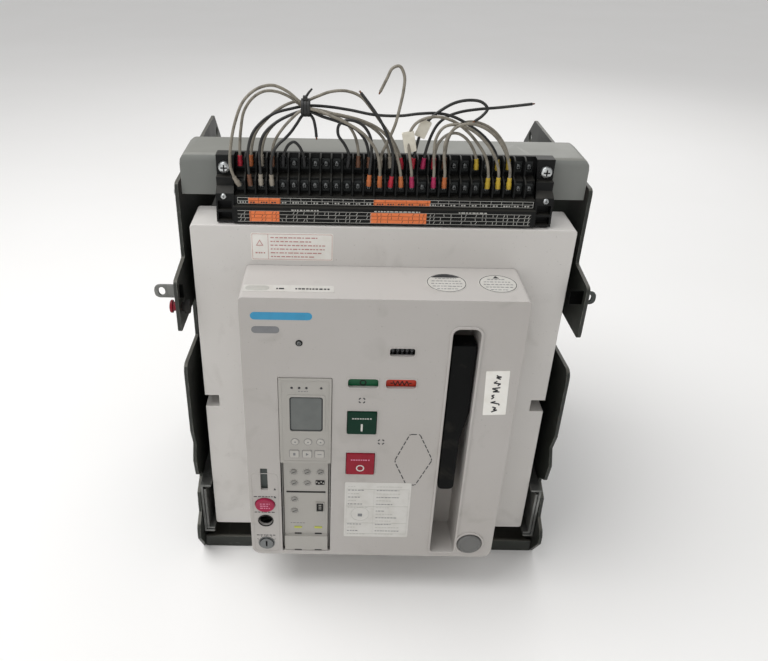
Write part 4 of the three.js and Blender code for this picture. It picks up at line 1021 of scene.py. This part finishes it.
def on_cover_rim(point):
    """Whether an edge's middle lies on the front face's outline, or at a corner of the box behind it."""
    low, high = COVER
    if point.y < FACE + 0.001:
        return abs(point.x) > 0.103 or point.z > high.z - 0.006 or point.z < low.z + 0.006
    return abs(point.x) > high.x - 0.011 and (point.z > high.z - 0.006 or point.z < low.z + 0.011)


def make_cover():
    refined("control_cover", 0.0005, 0.0018, on_cover_rim)
    bead = Shape().ring("y", slot_outline(0.0022), slot_outline(0.0), FACE + 0.0006, FACE - 0.0011)
    bead.cast("slot_rim", "breaker", "grey_plastic", 0.0005, segments=3)
    cover_frames()
    cover_screw()
    cover_print()
    cover_labels()


def cover_frames():
    """Raised frames round the buttons, the three windows, and the field at the lower left."""
    shape, back = Shape(), FACE + 0.0004
    for node in ("on_button", "off_button"):
        low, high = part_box(node)
        opening = grown((low.x, high.x, low.z, high.z), 0.0004)
        shape.bezel(opening, 0.0012, (0.0012, 0.0008), back, FACE - 0.0004)
    for x, z, half_x, half_z in (
        (-0.0142, 0.2462, 0.0126, 0.0045), (0.0171, 0.2462, 0.0126, 0.0045), (0.0165, 0.277, 0.0102, 0.0038),
    ):
        window = (x - half_x, x + half_x, z - half_z, z + half_z)
        shape.bezel(window, 0.0008, (0.001, half_z * 0.6), back, FACE - 0.0005)
    field = grown((-0.1115, -0.0873, 0.050, 0.147), -0.0005)
    shape.bezel(field, 0.0005, (0.0045, 0.004), FACE + 0.0002, FACE - 0.0003)
    shape.cast("window_frames", "breaker", "grey_plastic", 0.0002)


def cover_screw():
    """A small screw in its dished seat."""
    place, dish = (-0.0668, 0.2843), 0.0002
    screw = Shape().dome(place, FACE, (0.0029, 0.0003), (0.0025, 0.0004), dish, 28, 1)
    pan_screw(screw, "y", place, 0.0018, FACE - dish, -1)
    screw.made("cover_screw", "breaker", [SCREW, BLACK_AND_HOLLOW_SHADE], 0, "bright_steel")


def cover_print():
    """The printed marks on the cover's face."""
    dice = random.Random(23)
    start, end = FACE + 0.0001, FACE - INK
    shape = Shape()
    outline = [
        (0.0166, 0.1622), (0.0166, 0.1654), (0.0274, 0.1928), (0.0286, 0.1937),
        (0.0356, 0.1937), (0.0368, 0.1928), (0.0484, 0.1672), (0.0484, 0.1642),
        (0.0364, 0.1369), (0.0352, 0.1361), (0.0286, 0.1361), (0.0276, 0.1369),
    ]
    pitch, dash = 0.0062, 0.72
    for a, b in zip(outline, outline[1:] + outline[:1]):
        span = Vector(b) - Vector(a)
        count = max(1, round(span.length / pitch))
        for k in range(count):
            u, v = Vector(a) + span * (k / count), Vector(a) + span * ((k + dash) / count)
            shape.stroke(u, v, 0.0009, start, end)
    for centre in ((-0.0147, 0.2288), (0.0032, 0.1849)):
        for k in range(4):
            angles = [90 * k + 22 + 46 * step / 5 for step in range(6)]
            rims = ((0.0032, angles), (0.0021, angles[::-1]))
            arc = [polar(centre, radius, angle) for radius, row in rims for angle in row]
            shape.prism("y", arc, start, end)
    for z, u0, u1 in ((0.1187, -0.1098, -0.0898), (0.0995, -0.1098, -0.0898), (0.0702, -0.1088, -0.0905)):
        words(shape, "y", u0, u1, z, 0.0009, start, end, 0, dice, 0.003)
    for x, z in ((-0.0915, 0.1175), (-0.0915, 0.1272)):
        shape.prism("y", [(x, z), (x + 0.0022, z), (x + 0.0011, z + 0.0026)], start, end)
    shape.made("cover_marks", "breaker", [DARK_INK])
    bars = Shape()
    bars.plate((-0.1050, -0.0562, 0.3054, 0.3122), 0.0034, start, end, 0)
    bars.plate((-0.1045, -0.0822, 0.2930, 0.2994), 0.0032, start, end, 1)
    bars.made("maker_stripes", "breaker", [BLUE_INK, GREY_INK])


def cover_labels():
    """The rating label and a plain sticker on the face, and the stickers on the cover's top."""
    dice = random.Random(31)
    rating_label(dice)
    plain_sticker(dice)
    top_labels(dice)


def rating_label(dice):
    """Ruled rows of print that spell nothing, and a ring with a block in it."""
    shape = Shape()
    start, ink, hair = FACE + 0.0001, FACE - LABEL - INK, 0.00022
    left, right, low, high = -0.027, 0.0329, 0.0711, 0.1384
    shape.plate((left, right, low, high), 0.0015, start, FACE - LABEL)
    for row in range(15):
        z = high - 0.0055 - row * 0.0042
        for u0, u1 in ((left + 0.003, left + 0.024), (left + 0.029, right - 0.004)):
            if 6 < row < 11 and u0 < left + 0.02:
                continue
            stop = u0 + (u1 - u0) * dice.uniform(0.3, 1)
            words(shape, "y", u0, stop, z, 0.0008, start, ink, 1 + row % 2, dice, 0.0026)
    u, v = left + 0.0145, high - 0.0385
    shape.hoop((u, v), 0.0084, 0.0081, start, ink, 1, 48)
    for x in (left + 0.0018, left + 0.0265, right - 0.0018):
        shape.stroke((x, low + 0.004), (x, high - 0.008), hair, start, ink, 1)
    for z in (low + 0.004, low + 0.0175, low + 0.0385, high - 0.008):
        shape.stroke((left + 0.0018, z), (right - 0.0018, z), hair, start, ink, 1)
    shape.plate((u - 0.0020, u + 0.0020, v - 0.0030, v + 0.0004), 0.0003, start, ink, 2)
    shape.made("rating_label", "breaker", [SILVER, PALE_INK, GREY_INK])


def plain_sticker(dice):
    """A sticker set a little askew, with six wavy strokes."""
    start, end, ink = FACE + 0.0001, FACE - LABEL, FACE - LABEL - INK
    sticker = Shape().plate((-0.0097, 0.0097, -0.0222, 0.0222), 0.0006, start, end)
    for k in range(6):
        top = 0.0165 - k * 0.0066 + 0.0022
        bends = [
            (dice.uniform(-0.0042, 0.0042), top - step * 0.0011 + dice.uniform(-0.0006, 0.0006))
            for step in range(5)
        ]
        for a, b in zip(bends, bends[1:]):
            sticker.stroke(a, b, 0.0012, start, ink, 1)
    turn = Matrix.Translation((0.0963, 0, 0.2384)) @ Matrix.Rotation(math.radians(-2.5), 4, "Y")
    sticker.turned(turn).made("plain_sticker", "breaker", [WHITE, DARK_INK])


def top_labels(dice):
    """An oblong label and two round ones on the cover's top."""
    top = Shape()
    roof, proud, over = COVER_TOP - 0.0001, COVER_TOP + LABEL, COVER_TOP + LABEL + INK
    top.prism("z", rounded(-0.1114, -0.0395, -0.1780, -0.1670, 0.0008), roof, proud)
    top.prism("z", rounded(-0.1095, -0.0905, -0.1765, -0.1685, 0.0038), roof, over, 2)
    words(top, "z", -0.0850, -0.0780, -0.1742, 0.0022, roof, over, 1, dice)
    words(top, "z", -0.0700, -0.0430, -0.1742, 0.0022, roof, over, 1, dice, 0.0026)
    left, right = (0.0509, -0.1583), (0.0923, -0.1586)
    for (x, y), radius in ((left, 0.0165), (right, 0.0157)):
        top.prism("z", circle(x, y, radius, 48), roof, proud)
        rims = [circle(x, y, radius - inset, 48) for inset in (0.0008, 0.0013)]
        top.ring("z", *rims, roof, over, 1)
        for row in range(-2, 3):
            reach = math.sqrt((radius - 0.004) ** 2 - (row * 0.0045) ** 2)
            foot = y + row * 0.0045 - 0.002
            words(top, "z", x - reach, x + reach, foot, 0.0009, roof, over, 3, dice, 0.0030)
    top.prism("z", [polar(left, 0.0148, 38 + 104 * k / 12) for k in range(13)], roof, over, 1)
    x, y = 0.0923, -0.1492
    top.prism("z", [(x - 0.0026, y), (x + 0.0026, y), (x, y + 0.0042)], roof, over, 1)
    top.made("cover_top_labels", "breaker", [SILVER, DARK_INK, PALE_INK, GREY_INK])


make_cover()


# ---- Trip relay ----
RELAY_FRONT = RELAY[0].y
RELAY_PLATE = FACE + 0.0034
RELAY_LOOKS = [FINE["relay_plastic"], BLACK_AND_HOLLOW_SHADE, GLASS, LIQUID, GREY_INK, AMBER, KEY, DARK_INK, DIAL]
BODY, DARK, PANE, SCREEN, PRINT, YELLOW, KEYS, LAMP, KNOB = range(len(RELAY_LOOKS))


def make_relay():
    refined("trip_relay", 0.0006)
    shape, dice = Shape(), random.Random(3)
    relay_display(shape, dice)
    relay_keys(shape)
    relay_plate(shape, dice)
    shape.made("relay_fittings", "breaker", RELAY_LOOKS, 0.00012)


def relay_display(shape, dice):
    """The display and its pane, the frames round them, and a row of lamps."""
    front, pane = RELAY_FRONT, (-0.0755, -0.0473, 0.1962, 0.2324)
    shape.plate(pane, 0.0024, front + 0.0013, front + 0.0004, PANE)
    shape.plate((-0.0743, -0.0485, 0.1976, 0.2308), 0.0018, front + 0.0006, front + 0.0003, SCREEN)
    shape.bezel(pane, 0.0020, (0.0024, 0.0024), front + 0.0004, front - 0.0005, BODY)
    field = (-0.0818, -0.0428, 0.1634, 0.2478)
    shape.bezel(field, 0.0004, (0.002, 0.0018), front + 0.0002, front - 0.00025, BODY)
    for x in (-0.0733, -0.0671, -0.0611, -0.0489):
        shape.dome((x, 0.2414), front, (0.0011, 0.0002), (0.0007, 0.0006), 0.0008, 20, LAMP)
    words(shape, "y", -0.0680, -0.0585, 0.2376, 0.0006, front + 0.0001, front - INK, PRINT, dice, 0.002)


def relay_keys(shape):
    """Three round keys, and three square ones with their marks."""
    front, start, end = RELAY_FRONT, RELAY_FRONT + 0.0001, RELAY_FRONT - INK
    z = 0.1847
    for x in (-0.0712, -0.0600, -0.0492):
        shape.dome((x, z), front, (0.0031, 0.0004), (0.0026, 0.0008), 0.0007, 32, KEYS)
        shape.hoop((x, z), 0.0037, 0.0034, start, end, PRINT)
        shape.prism("y", circle(x, z, 0.0007, 12), front - 0.0006, front - 0.00085, PRINT)
    z, half = 0.1714, 0.0040
    for k, x in enumerate((-0.0720, -0.0608, -0.0500)):
        cap = (x - 0.0038, x + 0.0038, z - 0.0036, z + 0.0036)
        shape.plate(cap, 0.0009, front + 0.0002, front - 0.0009, KEYS)
        shape.bezel((x - half, x + half, z - half, z + half), 0.0003, (0.001, 0.001), start, end, PRINT)
        left, right, foot, top = x - 0.001, x + 0.001, z - 0.0014, z + 0.0014
        mark = (
            [(left, foot), (right, foot), (right, top), (left, top)],
            [(x - 0.0011, z - 0.0016), (x + 0.0013, z), (x - 0.0011, z + 0.0016)],
            line((x - 0.0018, z), (x + 0.0018, z), 0.0006),
        )[k]
        shape.prism("y", mark, front - 0.0006, front - 0.00102, PRINT)


def relay_plate(shape, dice):
    """The lower plate: dials, a bank of switches, ribs, a socket, yellow keys, and grey strips filling the
    gaps at the sides, painted shade for those gaps.
    """
    plate = RELAY_PLATE
    base = plate + 0.0002
    for z, places in ((0.1465, (-0.0732, -0.0612, -0.0492)), (0.1335, (-0.0730, -0.0610))):
        for x in places:
            dial(shape, x, z)
    for z in (0.1138, 0.0996):
        dial(shape, -0.0730, z)
    shape.plate((-0.0535, -0.0455, 0.1322, 0.1368), 0.0003, base, plate - 0.0010, DARK, 2)
    for k in range(4):
        x, z = -0.0525 + k * 0.002, 0.1350 - 0.0012 * (k % 2)
        switch = (x - 0.0005, x + 0.0005, z, z + 0.0014)
        shape.plate(switch, 0.0001, plate - 0.0006, plate - 0.0014, KEYS, 1)
    for rib in ((-0.0802, -0.0444, 0.1220, 0.1236), (-0.0805, -0.0441, 0.1588, 0.1602)):
        shape.plate(rib, 0.0004, base, plate - 0.0004, DARK, 2)
    socket = (-0.0527, -0.0463, 0.0993, 0.1097)
    shape.bezel(socket, 0.0008, (0.0008, 0.0005), base, plate - 0.0011, BODY)
    shape.plate(socket, 0.0005, plate + 0.0001, plate - 0.0002, DARK)
    for z in (0.1022, 0.1044, 0.1066):
        shape.plate((-0.0508, -0.0482, z - 0.0003, z + 0.0003), 0.0001, plate, plate - 0.0005, KEYS, 1)
    for x in (-0.0700, -0.0510):
        shape.plate((x - 0.0036, x + 0.0036, 0.0776, 0.0796), 0.0006, base, plate - 0.0007, YELLOW)
        shape.plate((x - 0.0034, x + 0.0034, 0.0697, 0.0712), 0.0006, base, plate - 0.0003, DARK)
        shape.plate((x - 0.0034, x + 0.0034, 0.0512, 0.0522), 0.0004, FACE + 0.0008, FACE + 0.0004, DARK)
    words(shape, "y", -0.0770, -0.0620, 0.0835, 0.0007, plate, plate - INK, PRINT, dice, 0.0025)
    # Grey strips set into the gaps at both sides: painted shade for the gaps.
    for wall, side in ((RELAY[0].x, 1), (RELAY[1].x, -1)):
        seam = sorted((wall + side * 0.0002, wall + side * 0.0014))
        shape.plate((*seam, 0.0515, 0.1600), 0.0002, plate + 0.0012, plate + 0.0060, KNOB, 1)


def dial(shape, x, z):
    """A small slotted setting dial in a ring of ticks."""
    plate, reach = RELAY_PLATE, 0.0018
    shape.dome((x, z), plate, (0.0030, 0.0006), (0.0026, 0.0010), 0.0010, 28, KNOB)
    a, b = (x - reach, z - reach / 2), (x + reach, z + reach / 2)
    shape.stroke(a, b, 0.0006, plate - 0.0008, plate - 0.00112, DARK)
    for k in range(10):
        a, b = [polar((x, z), radius, -60 + 300 * k / 9) for radius in (0.0036, 0.0043)]
        shape.stroke(a, b, 0.00025, plate + 0.0001, plate - INK, PRINT)


make_relay()


# ---- Controls ----
def middle_of(node):
    low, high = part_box(node)
    return (low + high) / 2


def make_buttons():
    for node, mark, word_ink in (("on_button", "bar", PALE_INK), ("off_button", "ring", PINK_INK)):
        refined(node, 0.0007)
        low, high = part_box(node)
        centre, start, end = middle_of(node), low.y + 0.0001, low.y - INK
        shape = Shape()
        left, right, foot = low.x + 0.004, high.x - 0.004, centre.z + 0.0045
        words(shape, "y", left, right, foot, 0.0013, start, end, 1, random.Random(7), 0.0018)
        if mark == "bar":
            bar = (centre.x - 0.0008, centre.x + 0.0008, centre.z - 0.0082, centre.z - 0.0005)
            shape.plate(bar, 0.0002, start, end, steps=1)
        else:
            shape.hoop((centre.x, centre.z - 0.0042), 0.0036, 0.0026, start, end, steps=40)
        shape.made(node + "_mark", node, [SILVER, word_ink])


def make_flags():
    refined("on_off_flag", 0.0002, material=FLAG_GREEN)
    refined("charge_flag", 0.0002, material=FLAG_RED)
    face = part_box("on_off_flag")[0].y
    start, end = face + 0.0001, face - INK
    row, swing, tail, width = 0.2446, 0.0022, 0.0022, 0.0009
    ring = Shape().hoop((-0.0142, row), 0.0029, 0.0018, start, end)
    ring.made("on_off_flag_mark", "on_off_flag", [BLACK_AND_HOLLOW_SHADE])
    spring = Shape()
    points = [(0.0106 + k * 0.0019, row - swing if k % 2 else row + swing) for k in range(8)]
    for a, b in zip(points, points[1:]):
        spring.stroke(a, b, width, start, end)
    for u in (points[0][0] - tail, points[-1][0]):
        spring.stroke((u, row), (u + tail, row), width, start, face - 2 * INK)
    spring.made("charge_flag_mark", "charge_flag", [BLACK_AND_HOLLOW_SHADE])


def make_counter():
    """Five number wheels on one axle, each showing a nought."""
    low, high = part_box("counter_wheel")
    centre = middle_of("counter_wheel")
    radius, wheels, gap, round_off = (high.z - low.z) / 2, 5, 0.0002, 0.0003
    width, inset = (high.x - low.x) / wheels, radius - round_off
    shape = Shape()
    for k in range(wheels):
        start, end = low.x + k * width + gap, low.x + (k + 1) * width - gap
        near, far = start + round_off, end - round_off
        profile = [(0, start), (inset, start), (radius, near), (radius, far), (inset, end), (0, end)]
        shape.lathe("x", (centre.y, centre.z), profile, 40)
        for step in range(10):
            x = (start + end) / 2
            nought = Shape()
            nought.ring("y", circle(x, 0, 0.0009, 16, 1.4), circle(x, 0, 0.0006, 16, 1.5), 0, 0.0004, 1)
            turn = Matrix.Rotation(math.radians(36 * step), 4, "X")
            axle = Matrix.Translation((0, centre.y, centre.z))
            nought.turned(axle @ turn @ Matrix.Translation((0, -radius - 0.0002, 0)))
            copy = bpy.data.meshes.new("nought")
            nought.bm.to_mesh(copy)
            nought.bm.free()
            shape.bm.from_mesh(copy)
            bpy.data.meshes.remove(copy)
    looks = [FINE["black_moulding"], GREY_INK]
    made = shape.made("counter_wheel_fine", "counter_wheel", looks, 0.0, "white_plastic")
    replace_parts(made, "counter_wheel")


def make_reset():
    centre = middle_of("reset_button")
    low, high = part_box("reset_button")
    squash = (high.z - low.z) / (high.x - low.x)
    radius, stem, front, rear = (high.x - low.x) / 2, 0.004, low.y, high.y
    profile = [
        (0, front + 0.0005), (radius * 0.7, front + 0.0003), (radius * 0.88, front),
        (radius * 0.97, front + 0.0005), (radius, front + 0.0014), (radius, front + 0.012),
        (stem, front + 0.0122), (stem, rear), (0, rear),
    ]
    shape = Shape().lathe("y", (centre.x, centre.z), profile, 56, 0, squash)
    made = shape.made("reset_button_fine", "reset_button", [CRIMSON], 0, "red_plastic")
    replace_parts(made, "reset_button")
    marks, dice = Shape(), random.Random(13)
    left, right = centre.x - 0.0045, centre.x + 0.0045
    for row in range(3):
        z = centre.z + 0.0020 - row * 0.0026
        words(marks, "y", left, right, z, 0.0011, front + 0.0006, front + 0.0001, 0, dice, 0.0028)
    marks.made("reset_button_mark", "reset_button", [PINK_INK])


def make_locks():
    refined("position_pointer", 0.0002)
    centre = middle_of("key_lock")
    low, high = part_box("key_lock")
    place, radius = (centre.x, centre.z), (high.x - low.x) / 2
    refined("key_lock", 0.0004, material=SCREW)
    collar = Shape().hoop(place, radius + 0.0015, radius + 0.0004, FACE + 0.0003, FACE - 0.0006, steps=40)
    collar.made("key_lock_collar", "breaker", [SCREW], 0.0002, "bright_steel")
    rays = Shape()
    for k in range(5):
        a, b = [polar(place, radius + out, 30 + 30 * k) for out in (0.0022, 0.0038)]
        rays.stroke(a, b, 0.0004, FACE + 0.0001, FACE - INK)
    rays.made("key_lock_marks", "breaker", [DARK_INK])
    refined("racking_screw", 0.0003, material=CLAMP)
    place = (LOCK_X, middle_of("racking_screw").z)
    hole = Shape().hoop(place, 0.0072, 0.0061, FACE + 0.0004, FACE - 0.0006, steps=40)
    hole.cast("racking_hole_rim", "breaker", "black_moulding", 0.0003)


def make_handles():
    refined("charging_handle", 0.0016, material=HANDLE)
    low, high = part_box("racking_handle")
    centre = middle_of("racking_handle")
    place, radius, stem, front = (centre.x, centre.z), (high.x - low.x) / 2, 0.0046, low.y
    profile = [
        (0, front + 0.0007), (radius * 0.76, front + 0.0006), (radius * 0.82, front),
        (radius * 0.93, front + 0.0001), (radius, front + 0.0012), (radius, front + 0.011),
        (stem, front + 0.0112), (stem, high.y), (0, high.y),
    ]
    knob = Shape().lathe("y", place, profile, 56)
    made = knob.cast("racking_handle_fine", "racking_handle", "knob_grey")
    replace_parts(made, "racking_handle")
    rim = Shape().hoop(place, radius + 0.0030, radius + 0.0010, FACE + 0.0004, FACE - 0.0012, steps=56)
    rim.cast("racking_handle_rim", "breaker", "grey_plastic", 0.0004)


def make_lock_button():
    """The button through the left side plate: a red cap outside it, a dark tail inside."""
    low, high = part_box("cradle_lock_button")
    centre = middle_of("cradle_lock_button")
    place, front, inner = (centre.y, centre.z), low.x, -PLATE_INNER
    rim, stem, foot = 0.0056, 0.0040, 0.0060
    cap = [
        (0, front + 0.0006), (0.0020, front + 0.0005), (0.0026, front), (0.0046, front + 0.0001),
        (rim, front + 0.0008), (rim, front + 0.0025), (stem, front + 0.0028), (stem, inner), (0, inner),
    ]
    tail = [
        (0, inner), (stem, inner), (stem, high.x - 0.004),
        (foot, high.x - 0.0038), (foot, high.x), (0, high.x),
    ]
    button = Shape().lathe("x", place, cap, 40).lathe("x", place, tail, 40, 1)
    made = button.cast("cradle_lock_button_fine", "lock_button", "red_plastic", 0.0, [BLACK_AND_HOLLOW_SHADE])
    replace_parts(made, "cradle_lock_button")


make_buttons()
make_flags()
make_counter()
make_reset()
make_locks()
make_handles()
make_lock_button()


# ---- Inside ----
def make_inside():
    refined("breaker_case", 0.0012)
    for node in [name for name in frame["nodes"] if name.startswith("support_runner")]:
        refined(node, 0.0008)
    for pole in POLES:
        refined("arc_chute_" + pole, 0.0005)
        refined("moving_contact_" + pole, 0.0007)
    refined("main_shaft", 0.0006)
    refined("spring_guide_rod", 0.0005)
    closing_spring()
    breaker_stubs()


def closing_spring():
    """A close-wound coil that stretches between its seat and the guide's plate."""
    low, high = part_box("closing_spring")
    centre = (low + high) / 2
    wire = 0.0016
    radius, turns = (high.x - low.x) / 2 - wire, 7
    steps = turns * 28
    points = [
        Vector((
            centre.x + radius * math.cos(2 * math.pi * turns * k / steps),
            centre.y + radius * math.sin(2 * math.pi * turns * k / steps),
            low.z + wire + (high.z - low.z - 2 * wire) * k / steps,
        ))
        for k in range(steps + 1)
    ]
    shape = Shape().sweep(points, [wire] * len(points), 12)
    bmesh.ops.recalc_face_normals(shape.bm, faces=shape.bm.faces)
    mesh = bpy.data.meshes.new("closing_spring_fine")
    shape.bm.to_mesh(mesh)
    shape.bm.free()
    mesh.materials.append(FINE["bright_steel"])
    mesh.polygons.foreach_set("use_smooth", [True] * len(mesh.polygons))
    made = bpy.data.objects.new("closing_spring_fine", mesh)
    bpy.context.scene.collection.objects.link(made)
    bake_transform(made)
    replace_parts(made, "closing_spring")


def breaker_stubs():
    """The breaker's own plated stubs, which enter the terminals' jaws."""
    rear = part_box("breaker_case")[1].y
    root, cheek, tip = rear - 0.012, rear + 0.019, rear + 0.022
    half, thin = 0.0055, 0.003
    for post, node in zip(POSTS, TERMINAL_NODES):
        centre = middle_of(node)
        nose = [(root, -half), (cheek, -half), (tip, -thin), (tip, thin), (cheek, half), (root, half)]
        corners = [(y, centre.z + z) for y, z in nose]
        shape = Shape().prism("x", corners, centre.x - 0.020, centre.x + 0.020)
        shape.cast("breaker_stub_" + post, "breaker", "plated_copper", 0.0008)


make_inside()


# ---- Floor and light ----
def make_stage():
    bpy.ops.mesh.primitive_plane_add(size=40, location=(0, 0, 0))
    floor = bpy.context.object
    floor.name = "floor"
    made = Finish("pale_floor", "faf9f8", 0.8)
    made.over("f6f5f3", made.noise(3, 3))
    floor.data.materials.append(made.done())


def make_light(name, place, aim, size, power):
    data = bpy.data.lights.new(name, "AREA")
    data.shape = "DISK"
    data.size = size
    data.energy = power
    light = bpy.data.objects.new(name, data)
    light.location = place
    light.rotation_euler = (Vector(aim) - Vector(place)).to_track_quat("-Z", "Y").to_euler()
    bpy.context.scene.collection.objects.link(light)


def make_world():
    world = bpy.data.worlds.new("studio")
    bpy.context.scene.world = world
    world.use_nodes = True
    background = world.node_tree.nodes["Background"]
    background.inputs["Color"].default_value = (1.0, 1.0, 1.0, 1.0)
    background.inputs["Strength"].default_value = 0.56


make_stage()
make_light("overhead", (-0.75, -0.20, 1.8), (0, -0.05, 0.2), 1.5, 21)
make_light("front", (-0.8, -1.9, 0.9), (0, 0, 0.2), 1.4, 4)
make_light("rear", (0.6, 1.6, 1.3), (0, 0, 0.2), 1.2, 6)
make_world()
bpy.context.scene.view_settings.view_transform = "Standard"
